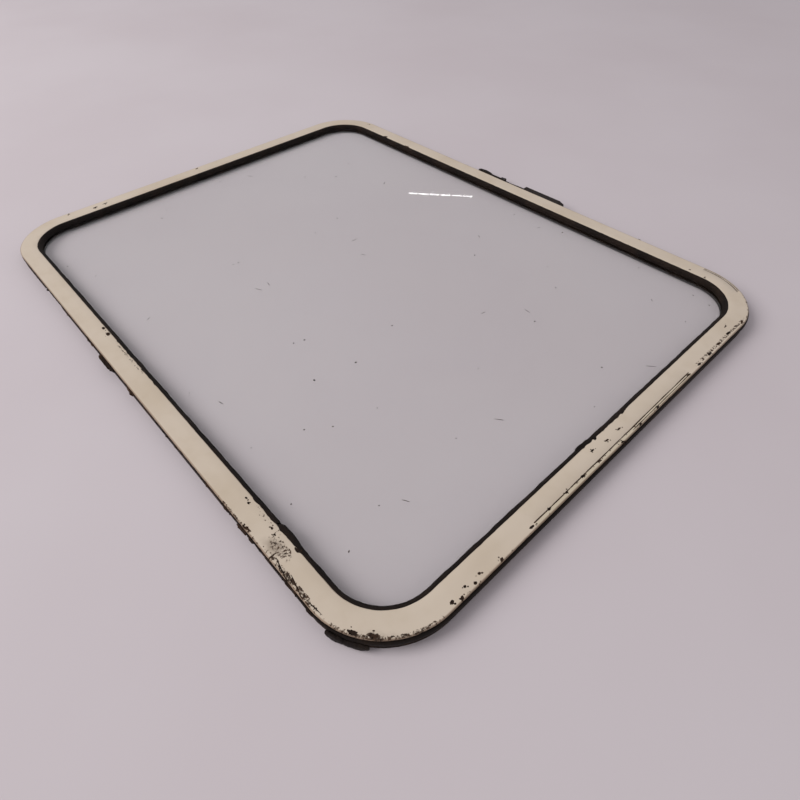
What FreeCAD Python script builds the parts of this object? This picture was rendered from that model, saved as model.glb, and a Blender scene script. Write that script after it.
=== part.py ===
import FreeCAD, Part
import math
import os
import re
import Sketcher

# Steel-framed window sash with a flat crank operator and two leaf hinges.
# Frame: +X along the long rails, +Y towards the operator's rail, +Z out of the painted face.
# The sash lies on z = 0 and the origin is at the centre of its whole footprint.
# Parts of the operator are drawn looking at the outer wall of the +Y rail: their own x runs
# along the rail, y downwards and z away from the wall, from the crank spindle's axis.

SIZES = {
    # sash frame
    "sash_length": 700.0,
    "sash_width": 546.6,
    "sash_thickness": 14.5,
    "corner_radius": 66.5,
    "face_width": 19.7,
    "face_sheet": 1.2,
    "face_edge_round": 0.9,
    "channel_wall": 1.5,
    "channel_sheet": 1.2,
    # glazing
    "rubber_lip": 4.0,
    "rubber_back": 2.5,
    "glass_thickness": 4.0,
    "glass_height": 5.0,
    "glass_grip": 3.7,
    "glass_rim_gap": 0.8,
    "block_length": 30.0,
    "block_spacing": 300.0,
    # outer seal
    "seal_reach": 4.0,
    "seal_height": 4.0,
    "seal_bottom": 8.2,
    "seal_gap": 6.0,
    # frame joint
    "splice_from_centre": 227.0,
    "splice_length": 60.0,
    "splice_sheet": 1.5,
    "splice_gap": 1.0,
    # hinges
    "hinge_spacing": 400.0,
    "leaf_length": 50.0,
    "leaf_width": 11.0,
    "leaf_sheet": 1.2,
    "leaf_gap": 0.5,
    "knuckle_radius": 2.6,
    "hinge_pin_radius": 1.2,
    "hinge_axis_inset": 3.2,
    "hinge_axis_height": 4.35,
    "notch_gap": 2.0,
    "notch_height": 7.9,
    "bracket_overlap": 11.0,
    "bracket_sheet": 1.5,
    "leaf_hole_radius": 1.6,
    "leaf_hole_spacing": 34.0,
    "rivet_radius": 1.5,
    "rivet_spacing": 16.0,
    "rivet_head_radius": 2.8,
    "rivet_head": 1.0,
    # operator housing
    "spindle_from_centre": 31.0,
    "spindle_height": 5.6,
    "plate_left": 11.0,
    "plate_right": 50.6,
    "plate_sheet": 2.0,
    "cover_depth": 9.4,
    "cover_wall": 1.4,
    "cover_above": 6.9,
    "cover_below": 4.6,
    "cover_bevel": 6.5,
    "cover_bevel_drop": 2.6,
    "backing_sheet": 2.0,
    "screw_radius": 1.25,
    "screw_head_radius": 2.2,
    "screw_head": 1.5,
    "screw_tail": 5.0,
    "left_screw": 5.8,
    "middle_screw": 31.0,
    "right_screw": 46.0,
    "cover_rivet_radius": 1.1,
    "cover_rivet_raise": 4.0,
    "cover_rivet_head": 0.5,
    "cover_rivet_head_radius": 2.0,
    # gear train
    "gear_module": 0.5,
    "small_teeth": 8,
    "large_teeth": 16,
    "gear_face": 2.2,
    "gear_gap": 0.4,
    "tooth_share": 0.4,
    "tooth_root": 1.25,
    "tooth_tip": 0.9,
    "tooth_taper": 0.3,
    "spindle_radius": 1.8,
    "spindle_journal": 1.2,
    "idler_post_radius": 0.8,
    "stay_post_radius": 1.2,
    "bush_radius": 3.0,
    "running_gap": 0.05,
    # stay arm
    "stay_length": 150.0,
    "stay_bar": 4.4,
    "stay_sheet": 2.2,
    "stay_hub_radius": 3.6,
    "stay_eye_radius": 3.8,
    "stay_bush_radius": 2.8,
    "stay_bore_radius": 2.0,
    # crank
    "crank_gap": 0.9,
    "crank_sheet": 2.1,
    "crank_hub_radius": 4.2,
    "crank_hub": 3.0,
    "crank_length": 53.0,
    "crank_bar": 3.2,
    "crank_drop": 1.0,
    "crank_flare": 0.3,
    "crank_waist": 0.2,
    "crank_bar_share": 0.85,
    "crank_neck_share": 0.84,
    "crank_screw_radius": 0.9,
    "crank_screw_head_radius": 2.4,
    "crank_screw_head": 1.3,
    # folding grip
    "grip_radius": 4.0,
    "grip_waist_radius": 3.1,
    "grip_length": 39.0,
    "grip_start": 6.0,
    "stem_radius": 1.4,
    "stem_head_radius": 2.4,
    "stem_head": 1.3,
    "tongue_radius": 3.0,
    "tongue_height": 2.4,
    "fork_ear": 1.4,
    "fork_gap": 0.2,
    "fork_share": 0.8,
    "fork_room": 0.5,
    "grip_swell_start": 0.12,
    "grip_swell_middle": 0.45,
    "grip_swell_end": 0.8,
    "grip_swell": 0.2,
    "grip_pin_radius": 0.8,
    "grip_from_crank": 3.7,
}

doc = FreeCAD.newDocument("window_sash")
sheet = doc.addObject("Spreadsheet::Sheet", "sizes")
for row, (alias, number) in enumerate(SIZES.items(), start=1):
    sheet.set(f"A{row}", alias)
    sheet.set(f"B{row}", str(number))
    sheet.setAlias(f"B{row}", alias)
doc.recompute()

WORD = re.compile(r"[a-z][a-z_]+")
OUTWARD = FreeCAD.Rotation(FreeCAD.Vector(1, 0, 0), -90)
FLAT = FreeCAD.Rotation()
SHIFT_Y = "-(grip_reach_y - seal_reach) / 2"
pieces = []


def spelled(text):
    """Spell out the longer dimensions that several pieces share."""
    shared = {
        "grip_reach_y": "(crank_base + grip_from_crank + grip_radius)",
        "crank_base": "(plate_sheet + cover_depth + crank_gap)",
        "gear_centres": "(gear_module * (small_teeth + large_teeth) / 2)",
        "rubber_inset": "(face_width + rubber_lip)",
        "back_inset": "(face_width - rubber_back)",
        "glass_inset": "(rubber_inset - glass_grip)",
        "face_bottom": "(sash_thickness - face_sheet)",
        "leaf_far": "(hinge_axis_inset + leaf_width)",
        "bracket_bottom": "(hinge_axis_height + leaf_gap / 2 + leaf_sheet)",
        "gear_base": "(plate_sheet + gear_gap)",
        "stay_base": "(gear_base + 2 * gear_face + gear_gap / 2)",
        "grip_plane": "(crank_base + grip_from_crank)",
    }
    for _ in range(3):
        text = WORD.sub(lambda found: shared.get(found.group(), found.group()), text)
    return text


def number(text):
    """The value of an expression in the sheet's sizes."""
    return float(sheet.evalExpression(spelled(str(text))))


def bind(item, prop, text):
    """Tie one property of an object to an expression in the sheet's sizes."""
    def from_sheet(found):
        return "sizes." + found.group() if found.group() in SIZES else found.group()
    item.setExpression(prop, WORD.sub(from_sheet, spelled(str(text))))


def place(item, x="0", y="0", z="0", turn=FLAT):
    """Put an object at a bound position, turned by a fixed rotation."""
    item.Placement = FreeCAD.Placement(FreeCAD.Vector(number(x), number(y), number(z)), turn)
    for axis, text in (("x", x), ("y", y), ("z", z)):
        bind(item, f"Placement.Base.{axis}", text)
    return item


def on_sash(item, name):
    """Name a finished piece drawn in the sash's own frame."""
    item.Label = name
    pieces.append(item)
    return place(item, "0", SHIFT_Y, "0")


def on_wall(item, name):
    """Name a finished piece drawn on the outer wall of the operator's rail."""
    item.Label = name
    pieces.append(item)
    return place(item, "spindle_from_centre", f"sash_width / 2 {SHIFT_Y}", "spindle_height", OUTWARD)


# ---- sketches ----

def sketch_on(body, name, role="XY_Plane", lift="0"):
    """A sketch on one of the body's origin planes, lifted along the plane's normal."""
    plane = next(item for item in body.Origin.OriginFeatures if item.Role == role)
    sketch = body.newObject("Sketcher::SketchObject", name)
    sketch.AttachmentSupport = [(plane, "")]
    sketch.MapMode = "FlatFace"
    sketch.AttachmentOffset = FreeCAD.Placement(FreeCAD.Vector(0, 0, number(lift)), FLAT)
    bind(sketch, "AttachmentOffset.Base.z", lift)
    return sketch


def dimension(sketch, kind, geometry, point, text):
    """A distance from the sketch's origin to a point, bound to the sheet."""
    index = sketch.addConstraint(Sketcher.Constraint(kind, -1, 1, geometry, point, number(text)))
    bind(sketch, f"Constraints[{index}]", text)


def draw_polygon(sketch, corners):
    """A closed outline whose corners are each bound to the sheet."""
    first = sketch.GeometryCount
    spots = [FreeCAD.Vector(number(x), number(y), 0) for x, y in corners]
    count = len(spots)
    for index in range(count):
        sketch.addGeometry(Part.LineSegment(spots[index], spots[(index + 1) % count]), False)
    for index in range(count):
        following = first + (index + 1) % count
        sketch.addConstraint(Sketcher.Constraint("Coincident", first + index, 2, following, 1))
    for index, (x, y) in enumerate(corners):
        dimension(sketch, "DistanceX", first + index, 1, x)
        dimension(sketch, "DistanceY", first + index, 1, y)


def draw_rectangle(sketch, low_x, low_y, high_x, high_y):
    """A rectangle from its bound sides."""
    draw_polygon(sketch, [(low_x, low_y), (high_x, low_y), (high_x, high_y), (low_x, high_y)])


def draw_circle(sketch, x, y, radius):
    """A circle with a bound centre and radius."""
    index = sketch.addGeometry(
        Part.Circle(FreeCAD.Vector(number(x), number(y), 0), FreeCAD.Vector(0, 0, 1), number(radius)), False)
    dimension(sketch, "DistanceX", index, 3, x)
    dimension(sketch, "DistanceY", index, 3, y)
    constraint = sketch.addConstraint(Sketcher.Constraint("Radius", index, number(radius)))
    bind(sketch, f"Constraints[{constraint}]", radius)


def draw_sash_outline(sketch, inset):
    """The sash's round-cornered outline, moved in from its outer edge by an inset."""
    half_x = f"sash_length / 2 - ({inset})"
    half_y = f"sash_width / 2 - ({inset})"
    radius = f"corner_radius - ({inset})"
    x, y, r = number(half_x), number(half_y), number(radius)
    first = sketch.GeometryCount
    ends = [(x - r, y), (r - x, y), (-x, y - r), (-x, r - y), (r - x, -y), (x - r, -y), (x, r - y),
            (x, y - r)]
    spots = [FreeCAD.Vector(px, py, 0) for px, py in ends]
    for side in range(4):
        sketch.addGeometry(Part.LineSegment(spots[2 * side], spots[2 * side + 1]), False)
    centres = [(r - x, y - r), (r - x, r - y), (x - r, r - y), (x - r, y - r)]
    for corner, (cx, cy) in enumerate(centres):
        circle = Part.Circle(FreeCAD.Vector(cx, cy, 0), FreeCAD.Vector(0, 0, 1), r)
        start = math.radians(90 * (corner + 1))
        sketch.addGeometry(Part.ArcOfCircle(circle, start, start + math.pi / 2), False)
    for side in range(4):
        line, arc, following = first + side, first + 4 + side, first + (side + 1) % 4
        sketch.addConstraint(Sketcher.Constraint("Tangent", line, 2, arc, 1))
        sketch.addConstraint(Sketcher.Constraint("Tangent", arc, 2, following, 1))
    for side, direction in enumerate(("Horizontal", "Vertical", "Horizontal", "Vertical")):
        sketch.addConstraint(Sketcher.Constraint(direction, first + side))
    for corner in range(1, 4):
        sketch.addConstraint(Sketcher.Constraint("Equal", first + 4, first + 4 + corner))
    dimension(sketch, "DistanceY", first, 1, half_y)
    dimension(sketch, "DistanceX", first + 1, 1, f"-({half_x})")
    dimension(sketch, "DistanceY", first + 2, 1, f"-({half_y})")
    dimension(sketch, "DistanceX", first + 3, 1, half_x)
    constraint = sketch.addConstraint(Sketcher.Constraint("Radius", first + 4, r))
    bind(sketch, f"Constraints[{constraint}]", radius)


# ---- features ----

def new_body(name):
    return doc.addObject("PartDesign::Body", name + "_body")


def pad(body, draw, bottom, height):
    """Draw a profile at a height and pad it upwards."""
    sketch = sketch_on(body, "profile", lift=bottom)
    draw(sketch)
    feature = body.newObject("PartDesign::Pad", "pad")
    feature.Profile = sketch
    feature.Length = number(height)
    bind(feature, "Length", height)
    doc.recompute()
    return feature


def pocket(body, draw, bottom, height):
    """Draw a profile at a height and cut it upwards; the cut has to remove something."""
    before = body.Shape.Volume
    sketch = sketch_on(body, "cut_profile", lift=bottom)
    draw(sketch)
    feature = body.newObject("PartDesign::Pocket", "pocket")
    feature.Profile = sketch
    feature.Reversed = True
    feature.Length = number(height)
    bind(feature, "Length", height)
    doc.recompute()
    if body.Shape.Volume >= before:
        raise RuntimeError(f"{body.Name}: the cut removes nothing")
    return feature


def pad_ring(body, outer, inner, bottom, height):
    """Pad a round-cornered ring between two insets from the sash's edge."""
    def draw(sketch):
        draw_sash_outline(sketch, outer)
        draw_sash_outline(sketch, inner)
    return pad(body, draw, bottom, height)


def cylinder(name, radius, height, x="0", y="0", z="0", turn=FLAT):
    item = doc.addObject("Part::Cylinder", name)
    bind(item, "Radius", radius)
    bind(item, "Height", height)
    return place(item, x, y, z, turn)


def box(name, low, high):
    """A box between two corners given as expressions."""
    item = doc.addObject("Part::Box", name)
    for prop, start, end in zip(("Length", "Width", "Height"), low, high):
        bind(item, prop, f"({end}) - ({start})")
    return place(item, *low)


def joined(name, items):
    item = doc.addObject("Part::MultiFuse", name)
    item.Shapes = items
    return item


def cut_out(name, base, tools):
    item = doc.addObject("Part::Cut", name)
    item.Base = base
    item.Tool = tools[0] if len(tools) == 1 else joined(name + "_tools", tools)
    return item


def group(name, items):
    item = doc.addObject("Part::Compound", name)
    item.Links = items
    return item


# ---- sash frame ----

def make_face_pressing():
    """Flat painted face with a rounded outer edge."""
    body = new_body("face")
    feature = pad_ring(body, "0", "face_width", "face_bottom", "face_sheet")
    top = number("sash_thickness")
    outside = (number("sash_length") / 2, number("sash_width") / 2)
    names = []
    for index, edge in enumerate(feature.Shape.Edges, start=1):
        bounds = edge.BoundBox
        reach_x = max(abs(bounds.XMin), abs(bounds.XMax))
        reach_y = max(abs(bounds.YMin), abs(bounds.YMax))
        outer = reach_x > outside[0] - 0.01 or reach_y > outside[1] - 0.01
        if outer and bounds.ZMin > top - 0.01:
            names.append(f"Edge{index}")
    fillet = body.newObject("PartDesign::Fillet", "edge_round")
    fillet.Base = (feature, names)
    fillet.Radius = number("face_edge_round")
    bind(fillet, "Radius", "face_edge_round")
    on_sash(body, "face_pressing")


def make_rail_channel():
    """Folded channel behind the face: outer wall, floor and inner wall, notched for the hinges."""
    body = new_body("channel")
    pad_ring(body, "0", "channel_wall", "0", "face_bottom")
    pad_ring(body, "0", "back_inset", "0", "channel_sheet")
    pad_ring(body, "back_inset - channel_sheet", "back_inset", "0", "face_bottom")

    def hinge_notches(sketch):
        for side in (-1, 1):
            centre = f"{side} * hinge_spacing / 2"
            half = "leaf_length / 2 + notch_gap"
            draw_rectangle(sketch, f"{centre} - ({half})", "-sash_width / 2 - 1",
                           f"{centre} + {half}", "-sash_width / 2 + leaf_far + leaf_gap")
    pocket(body, hinge_notches, "-1", "notch_height + 1")

    before = body.Shape.Volume
    sketch = sketch_on(body, "screw_profile", role="XZ_Plane", lift="-sash_width / 2 - 1")
    for across in ("-left_screw", "middle_screw", "right_screw"):
        draw_circle(sketch, f"spindle_from_centre + {across}", "spindle_height", "screw_radius + running_gap")
    feature = body.newObject("PartDesign::Pocket", "screw_holes")
    feature.Profile = sketch
    feature.Reversed = False
    feature.Length = number("channel_wall + 2")
    bind(feature, "Length", "channel_wall + 2")
    doc.recompute()
    if body.Shape.Volume >= before:
        feature.Reversed = True
        doc.recompute()
    if body.Shape.Volume >= before:
        raise RuntimeError("the screw holes cut nothing")
    on_sash(body, "rail_channel")


def make_glazing():
    """Pane, the rubber profile that grips its edge, and the blocks that centre it."""
    rubber = new_body("rubber")
    pad_ring(rubber, "back_inset", "rubber_inset", "channel_sheet", "face_bottom - channel_sheet")

    def slot(sketch):
        draw_sash_outline(sketch, "glass_inset - glass_rim_gap")
        draw_sash_outline(sketch, "rubber_inset + 1")
    pocket(rubber, slot, "glass_height", "glass_thickness")
    on_sash(rubber, "glazing_rubber")

    pane = new_body("pane")
    pad(pane, lambda sketch: draw_sash_outline(sketch, "glass_inset"), "glass_height", "glass_thickness")
    on_sash(pane, "glass_pane")

    half_x = "sash_length / 2 - glass_inset"
    half_y = "sash_width / 2 - glass_inset"
    blocks = []
    for side in (-1, 1):
        for along in (-1, 1):
            centre = f"{along} * block_spacing / 2"
            near = f"{side} * ({half_y} + glass_rim_gap / 2)"
            blocks.append(box("setting_block",
                              (f"{centre} - block_length / 2", f"{near} - glass_rim_gap / 2", "glass_height"),
                              (f"{centre} + block_length / 2", f"{near} + glass_rim_gap / 2",
                               "glass_height + glass_thickness")))
        near = f"{side} * ({half_x} + glass_rim_gap / 2)"
        blocks.append(box("setting_block",
                          (f"{near} - glass_rim_gap / 2", "-block_length / 2", "glass_height"),
                          (f"{near} + glass_rim_gap / 2", "block_length / 2",
                           "glass_height + glass_thickness")))
    on_sash(group("blocks", blocks), "setting_blocks")


def make_outer_seal():
    """Rubber strip round the outer wall, left out behind the operator."""
    body = new_body("seal")
    pad_ring(body, "-seal_reach", "0", "seal_bottom", "seal_height")

    def gap(sketch):
        draw_rectangle(sketch, "spindle_from_centre - plate_left - seal_gap", "sash_width / 2 - 1",
                       "spindle_from_centre + plate_right + seal_gap", "sash_width / 2 + seal_reach + 1")
    pocket(body, gap, "seal_bottom - 1", "seal_height + 2")
    on_sash(body, "outer_seal")


def make_splice_plate():
    """Plate welded inside the channel across the butt joint of the bent frame."""
    plate = box("splice",
                ("splice_from_centre - splice_length / 2", "-sash_width / 2 + channel_wall + splice_gap",
                 "face_bottom - splice_sheet"),
                ("splice_from_centre + splice_length / 2",
                 "-sash_width / 2 + back_inset - channel_sheet - splice_gap", "face_bottom"))
    on_sash(group("splice_piece", [plate]), "joint_splice_plate")


# ---- hinges ----

def make_leaf(name, side, upper):
    """One hinge leaf: the sash's leaf has the two outer knuckles, the other the middle one."""
    centre = f"{side} * hinge_spacing / 2"
    axis_y = "-sash_width / 2 + hinge_axis_inset"
    third = "leaf_length / 4"
    along_x = FreeCAD.Rotation(FreeCAD.Vector(0, 1, 0), 90)
    spans = {"left": (f"{centre} - leaf_length / 2", f"leaf_length / 2 - {third}"),
             "middle": (f"{centre} - {third} + notch_gap / 8", f"2 * {third} - notch_gap / 4"),
             "right": (f"{centre} + {third}", f"leaf_length / 2 - {third}")}
    clear = {"left": (f"{centre} - leaf_length / 2 - 1", f"leaf_length / 2 - {third} + 1 + notch_gap / 8"),
             "middle": (f"{centre} - {third}", f"2 * {third}"),
             "right": (f"{centre} + {third} - notch_gap / 8",
                       f"leaf_length / 2 - {third} + 1 + notch_gap / 8")}
    own = ("left", "right") if upper else ("middle",)
    other = ("middle",) if upper else ("left", "right")
    bottom = "hinge_axis_height + leaf_gap / 2" if upper else "hinge_axis_height - leaf_gap / 2 - leaf_sheet"
    plate = box("leaf_plate", (f"{centre} - leaf_length / 2", axis_y, bottom),
                (f"{centre} + leaf_length / 2", f"{axis_y} + leaf_width", f"{bottom} + leaf_sheet"))
    knuckles = [cylinder("knuckle", "knuckle_radius", spans[key][1], spans[key][0], axis_y,
                         "hinge_axis_height", along_x) for key in own]
    room = [cylinder("knuckle_room", "knuckle_radius + notch_gap / 8", clear[key][1], clear[key][0], axis_y,
                     "hinge_axis_height", along_x) for key in other]
    open_plate = cut_out("open_plate", plate, room)
    spacing = "rivet_spacing" if upper else "leaf_hole_spacing"
    radius = "rivet_radius" if upper else "leaf_hole_radius"
    holes = [cylinder("leaf_hole", radius, "leaf_sheet + 2", f"{centre} + {end} * {spacing} / 2",
                      f"{axis_y} + leaf_width * 2 / 3", f"{bottom} - 1") for end in (-1, 1)]
    holes.append(cylinder("pin_bore", "hinge_pin_radius" if upper else "hinge_pin_radius + running_gap",
                          "leaf_length + 2", f"{centre} - leaf_length / 2 - 1", axis_y,
                          "hinge_axis_height", along_x))
    on_sash(cut_out("leaf", joined("leaf_blank", [open_plate, *knuckles]), holes), name)


def make_hinges():
    """Two folded leaf hinges let into notches of the -Y rail, with their brackets, pins and rivets."""
    along_x = FreeCAD.Rotation(FreeCAD.Vector(0, 1, 0), 90)
    rivets = []
    for hand, side in (("left", -1), ("right", 1)):
        make_leaf(f"sash_leaf_{hand}", side, True)
        make_leaf(f"surround_leaf_{hand}", side, False)
        centre = f"{side} * hinge_spacing / 2"
        axis_y = "-sash_width / 2 + hinge_axis_inset"
        pin = cylinder("pin", "hinge_pin_radius", "leaf_length", f"{centre} - leaf_length / 2", axis_y,
                       "hinge_axis_height", along_x)
        on_sash(group("pin_piece", [pin]), f"hinge_pin_{hand}")
        half = "leaf_length / 2 + bracket_overlap"
        near = f"{axis_y} + knuckle_radius + notch_gap / 4"
        far = "-sash_width / 2 + back_inset - channel_sheet"
        parts = [box("bracket_web", (f"{centre} - ({half})", near, "bracket_bottom"),
                     (f"{centre} + {half}", far, "bracket_bottom + bracket_sheet"))]
        for end in (-1, 1):
            middle = f"{centre} + {end} * ({half} - bracket_sheet / 2)"
            parts.append(box("bracket_leg", (f"{middle} - bracket_sheet / 2", near, "channel_sheet"),
                             (f"{middle} + bracket_sheet / 2", far, "bracket_bottom + bracket_sheet")))
        holes = []
        for end in (-1, 1):
            x = f"{centre} + {end} * rivet_spacing / 2"
            y = f"{axis_y} + leaf_width * 2 / 3"
            holes.append(cylinder("rivet_hole", "rivet_radius", "bracket_sheet + 2", x, y,
                                  "bracket_bottom - 1"))
            shank = cylinder("shank", "rivet_radius", "leaf_sheet + bracket_sheet", x, y,
                             "bracket_bottom - leaf_sheet")
            head = cylinder("head", "rivet_head_radius", "rivet_head", x, y, "bracket_bottom + bracket_sheet")
            rivets.append(joined("rivet", [shank, head]))
        on_sash(cut_out("bracket", joined("bracket_blank", parts), holes), f"hinge_bracket_{hand}")
    on_sash(group("rivets", rivets), "hinge_rivets")


# ---- operator housing ----

def screw_places():
    return [("-left_screw", "0"), ("middle_screw", "0"), ("right_screw", "0")]


def cover_rivet_places():
    return [("-left_screw", "-cover_rivet_raise"), ("middle_screw + left_screw * 2", "-cover_rivet_raise")]


def make_operator_plates():
    """Base plate outside the rail's wall and backing plate inside it, with their screws."""
    base = box("base_blank", ("-plate_left", "-cover_above", "0"),
               ("plate_right", "cover_below", "plate_sheet"))
    reach = "plate_sheet + 2"
    holes = [cylinder("base_hole", "screw_radius + running_gap", reach, x, y, "-1")
             for x, y in screw_places()]
    holes += [cylinder("base_hole", "cover_rivet_radius", reach, x, y, "-1") for x, y in cover_rivet_places()]
    holes.append(cylinder("base_hole", "spindle_journal + running_gap", reach, z="-1"))
    holes.append(cylinder("base_hole", "idler_post_radius", reach, "gear_centres", z="-1"))
    holes.append(cylinder("base_hole", "stay_post_radius", reach, "2 * gear_centres", z="-1"))
    on_wall(cut_out("base", base, holes), "operator_base_plate")

    inside = "-channel_wall - backing_sheet"
    backing = box("backing_blank", ("-plate_left", "-cover_above + cover_wall", inside),
                  ("plate_right", "spindle_height - channel_sheet - splice_gap", "-channel_wall"))
    holes = [cylinder("backing_hole", "screw_radius", "backing_sheet + 2", x, y, f"{inside} - 1")
             for x, y in screw_places()]
    on_wall(cut_out("backing", backing, holes), "operator_backing_plate")

    screws = []
    for x, y in screw_places():
        shank = cylinder("screw_shank", "screw_radius", "screw_tail + plate_sheet", x, y, "-screw_tail")
        head = cylinder("screw_head", "screw_head_radius", "screw_head", x, y, "plate_sheet")
        screws.append(joined("screw", [shank, head]))
    on_wall(group("screws", screws), "operator_screws")


def make_operator_cover():
    """Pressed cover with a bevelled end, open below and at the end where the stay leaves."""
    body = new_body("cover")

    def outside(sketch):
        draw_polygon(sketch, [("-plate_left", "-cover_above"), ("plate_right - cover_bevel", "-cover_above"),
                              ("plate_right", "-cover_above + cover_bevel_drop"),
                              ("plate_right", "cover_below"),
                              ("-plate_left", "cover_below")])

    def hollow(sketch):
        draw_polygon(sketch, [("-plate_left + cover_wall", "-cover_above + cover_wall"),
                              ("plate_right - cover_bevel - cover_wall / 2", "-cover_above + cover_wall"),
                              ("plate_right + 1", "-cover_above + cover_bevel_drop + cover_wall"),
                              ("plate_right + 1", "cover_below + 1"),
                              ("-plate_left + cover_wall", "cover_below + 1")])

    def openings(sketch):
        draw_circle(sketch, "0", "0", "bush_radius")
        for x, y in cover_rivet_places():
            draw_circle(sketch, x, y, "cover_rivet_radius")
    pad(body, outside, "plate_sheet", "cover_depth")
    pocket(body, hollow, "plate_sheet - 1", "cover_depth - cover_wall + 1")
    pocket(body, openings, "plate_sheet", "cover_depth + 1")
    on_wall(body, "operator_cover")

    rivets = []
    for x, y in cover_rivet_places():
        shank = cylinder("cover_shank", "cover_rivet_radius", "plate_sheet + cover_depth", x, y)
        head = cylinder("cover_head", "cover_rivet_head_radius", "cover_rivet_head", x, y,
                        "plate_sheet + cover_depth")
        rivets.append(joined("cover_rivet", [shank, head]))
    on_wall(group("cover_rivet_group", rivets), "cover_rivets")

    front = "plate_sheet + cover_depth - cover_wall"
    bush = cylinder("bush_blank", "bush_radius", "cover_wall + crank_gap / 2", z=front)
    bore = cylinder("bush_bore", "spindle_radius + running_gap", "cover_wall + crank_gap / 2 + 2",
                    z=f"{front} - 1")
    on_wall(cut_out("bush", bush, [bore]), "spindle_bush")


# ---- gears ----

def draw_tooth(sketch, teeth, gap_first):
    """One straight-flanked tooth on the local +x side, half a pitch round when a gap comes first."""
    pitch_radius = f"gear_module * {teeth} / 2"
    root = f"({pitch_radius} - gear_module * tooth_root)"
    tip = f"({pitch_radius} + gear_module * tooth_tip)"
    half_pitch = "gear_module * pi / 2 * tooth_share"
    corners = [(f"{root} - gear_module / 2", f"{half_pitch} + gear_module * tooth_taper"),
               (root, f"{half_pitch} + gear_module * tooth_taper"),
               (tip, f"{half_pitch} - gear_module * tooth_taper")]
    ring = [(x, f"-({y})") for x, y in corners] + [(x, y) for x, y in reversed(corners)]
    turn = f"(180 / {teeth})" if gap_first else "0"
    turned = [(f"({x}) * cos({turn} * 1 deg) - ({y}) * sin({turn} * 1 deg)",
               f"({x}) * sin({turn} * 1 deg) + ({y}) * cos({turn} * 1 deg)") for x, y in ring]
    draw_polygon(sketch, turned)


def add_gear(body, teeth, bottom, gap_first):
    """Pad a root disc and one tooth, then repeat the tooth round the body's z axis."""
    pad(body, lambda sketch: draw_circle(sketch, "0", "0", f"gear_module * ({teeth} / 2 - tooth_root)"),
        bottom,
        "gear_face")
    tooth = pad(body, lambda sketch: draw_tooth(sketch, teeth, gap_first), bottom, "gear_face")
    pattern = body.newObject("PartDesign::PolarPattern", "teeth")
    pattern.Originals = [tooth]
    axis = next(item for item in body.Origin.OriginFeatures if item.Role == "Z_Axis")
    pattern.Axis = (axis, [""])
    pattern.Angle = 360
    pattern.Occurrences = int(number(teeth))
    bind(pattern, "Occurrences", teeth)
    body.Tip = pattern
    doc.recompute()


def place_on_wall(body, name, along):
    """Name a gear train piece drawn about its own axis, which stands at a distance along the rail."""
    body.Label = name
    pieces.append(body)
    place(body, f"spindle_from_centre + {along}", f"sash_width / 2 {SHIFT_Y}", "spindle_height", OUTWARD)


def make_gear_train():
    """Spindle with its pinion, double idler gear and stay gear, each on its own post."""
    spindle = new_body("spindle")
    add_gear(spindle, "small_teeth", "gear_base", False)
    pad(spindle, lambda sketch: draw_circle(sketch, "0", "0", "spindle_journal"), "running_gap * 4",
        "gear_base + gear_face / 2")
    pad(spindle, lambda sketch: draw_circle(sketch, "0", "0", "spindle_journal"), "gear_base + gear_face / 2",
        "gear_face")
    pad(spindle, lambda sketch: draw_circle(sketch, "0", "0", "spindle_radius"),
        "gear_base + gear_face + gear_gap",
        "crank_base + crank_hub - gear_base - gear_face - gear_gap")
    pocket(spindle, lambda sketch: draw_circle(sketch, "0", "0", "crank_screw_radius"), "crank_base",
           "crank_hub + 1")
    place_on_wall(spindle, "drive_spindle", "0")

    idler = new_body("idler")
    add_gear(idler, "large_teeth", "gear_base", True)
    add_gear(idler, "small_teeth", "gear_base + gear_face", False)
    pocket(idler, lambda sketch: draw_circle(sketch, "0", "0", "idler_post_radius + running_gap"), "0",
           "gear_base + 2 * gear_face + 1")
    place_on_wall(idler, "idler_gear", "gear_centres")

    stay = new_body("stay_gear")
    add_gear(stay, "large_teeth", "stay_base - gear_face", True)
    pocket(stay, lambda sketch: draw_circle(sketch, "0", "0", "stay_post_radius + running_gap"), "0",
           "stay_base + 1")
    place_on_wall(stay, "stay_gear", "2 * gear_centres")

    height = "plate_sheet + cover_depth - cover_wall"
    place_on_wall(cylinder("idler_pin", "idler_post_radius", height), "idler_post", "gear_centres")
    place_on_wall(cylinder("stay_pin", "stay_post_radius", height), "stay_post", "2 * gear_centres")


def make_stay_arm():
    """Flat stay that folds along the rail, with a bushed eye for the surround's pivot."""
    body = new_body("stay_arm")

    def bar(sketch):
        draw_rectangle(sketch, "0", "-stay_bar / 2", "stay_length", "stay_bar / 2")
    pad(body, bar, "stay_base", "stay_sheet")
    pad(body, lambda sketch: draw_circle(sketch, "0", "0", "stay_hub_radius"), "stay_base", "stay_sheet")
    pad(body, lambda sketch: draw_circle(sketch, "stay_length", "0", "stay_eye_radius"), "stay_base",
        "stay_sheet")

    def bores(sketch):
        draw_circle(sketch, "0", "0", "stay_post_radius + running_gap")
        draw_circle(sketch, "stay_length", "0", "stay_bush_radius")
    pocket(body, bores, "stay_base - 1", "stay_sheet + 2")
    place_on_wall(body, "stay_arm", "2 * gear_centres")

    bush = cylinder("eye_blank", "stay_bush_radius", "stay_sheet", "stay_length", z="stay_base")
    bore = cylinder("eye_bore", "stay_bore_radius", "stay_sheet + 2", "stay_length", z="stay_base - 1")
    place_on_wall(cut_out("eye_bush", bush, [bore]), "stay_eye_bush", "2 * gear_centres")


# ---- crank ----

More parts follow.
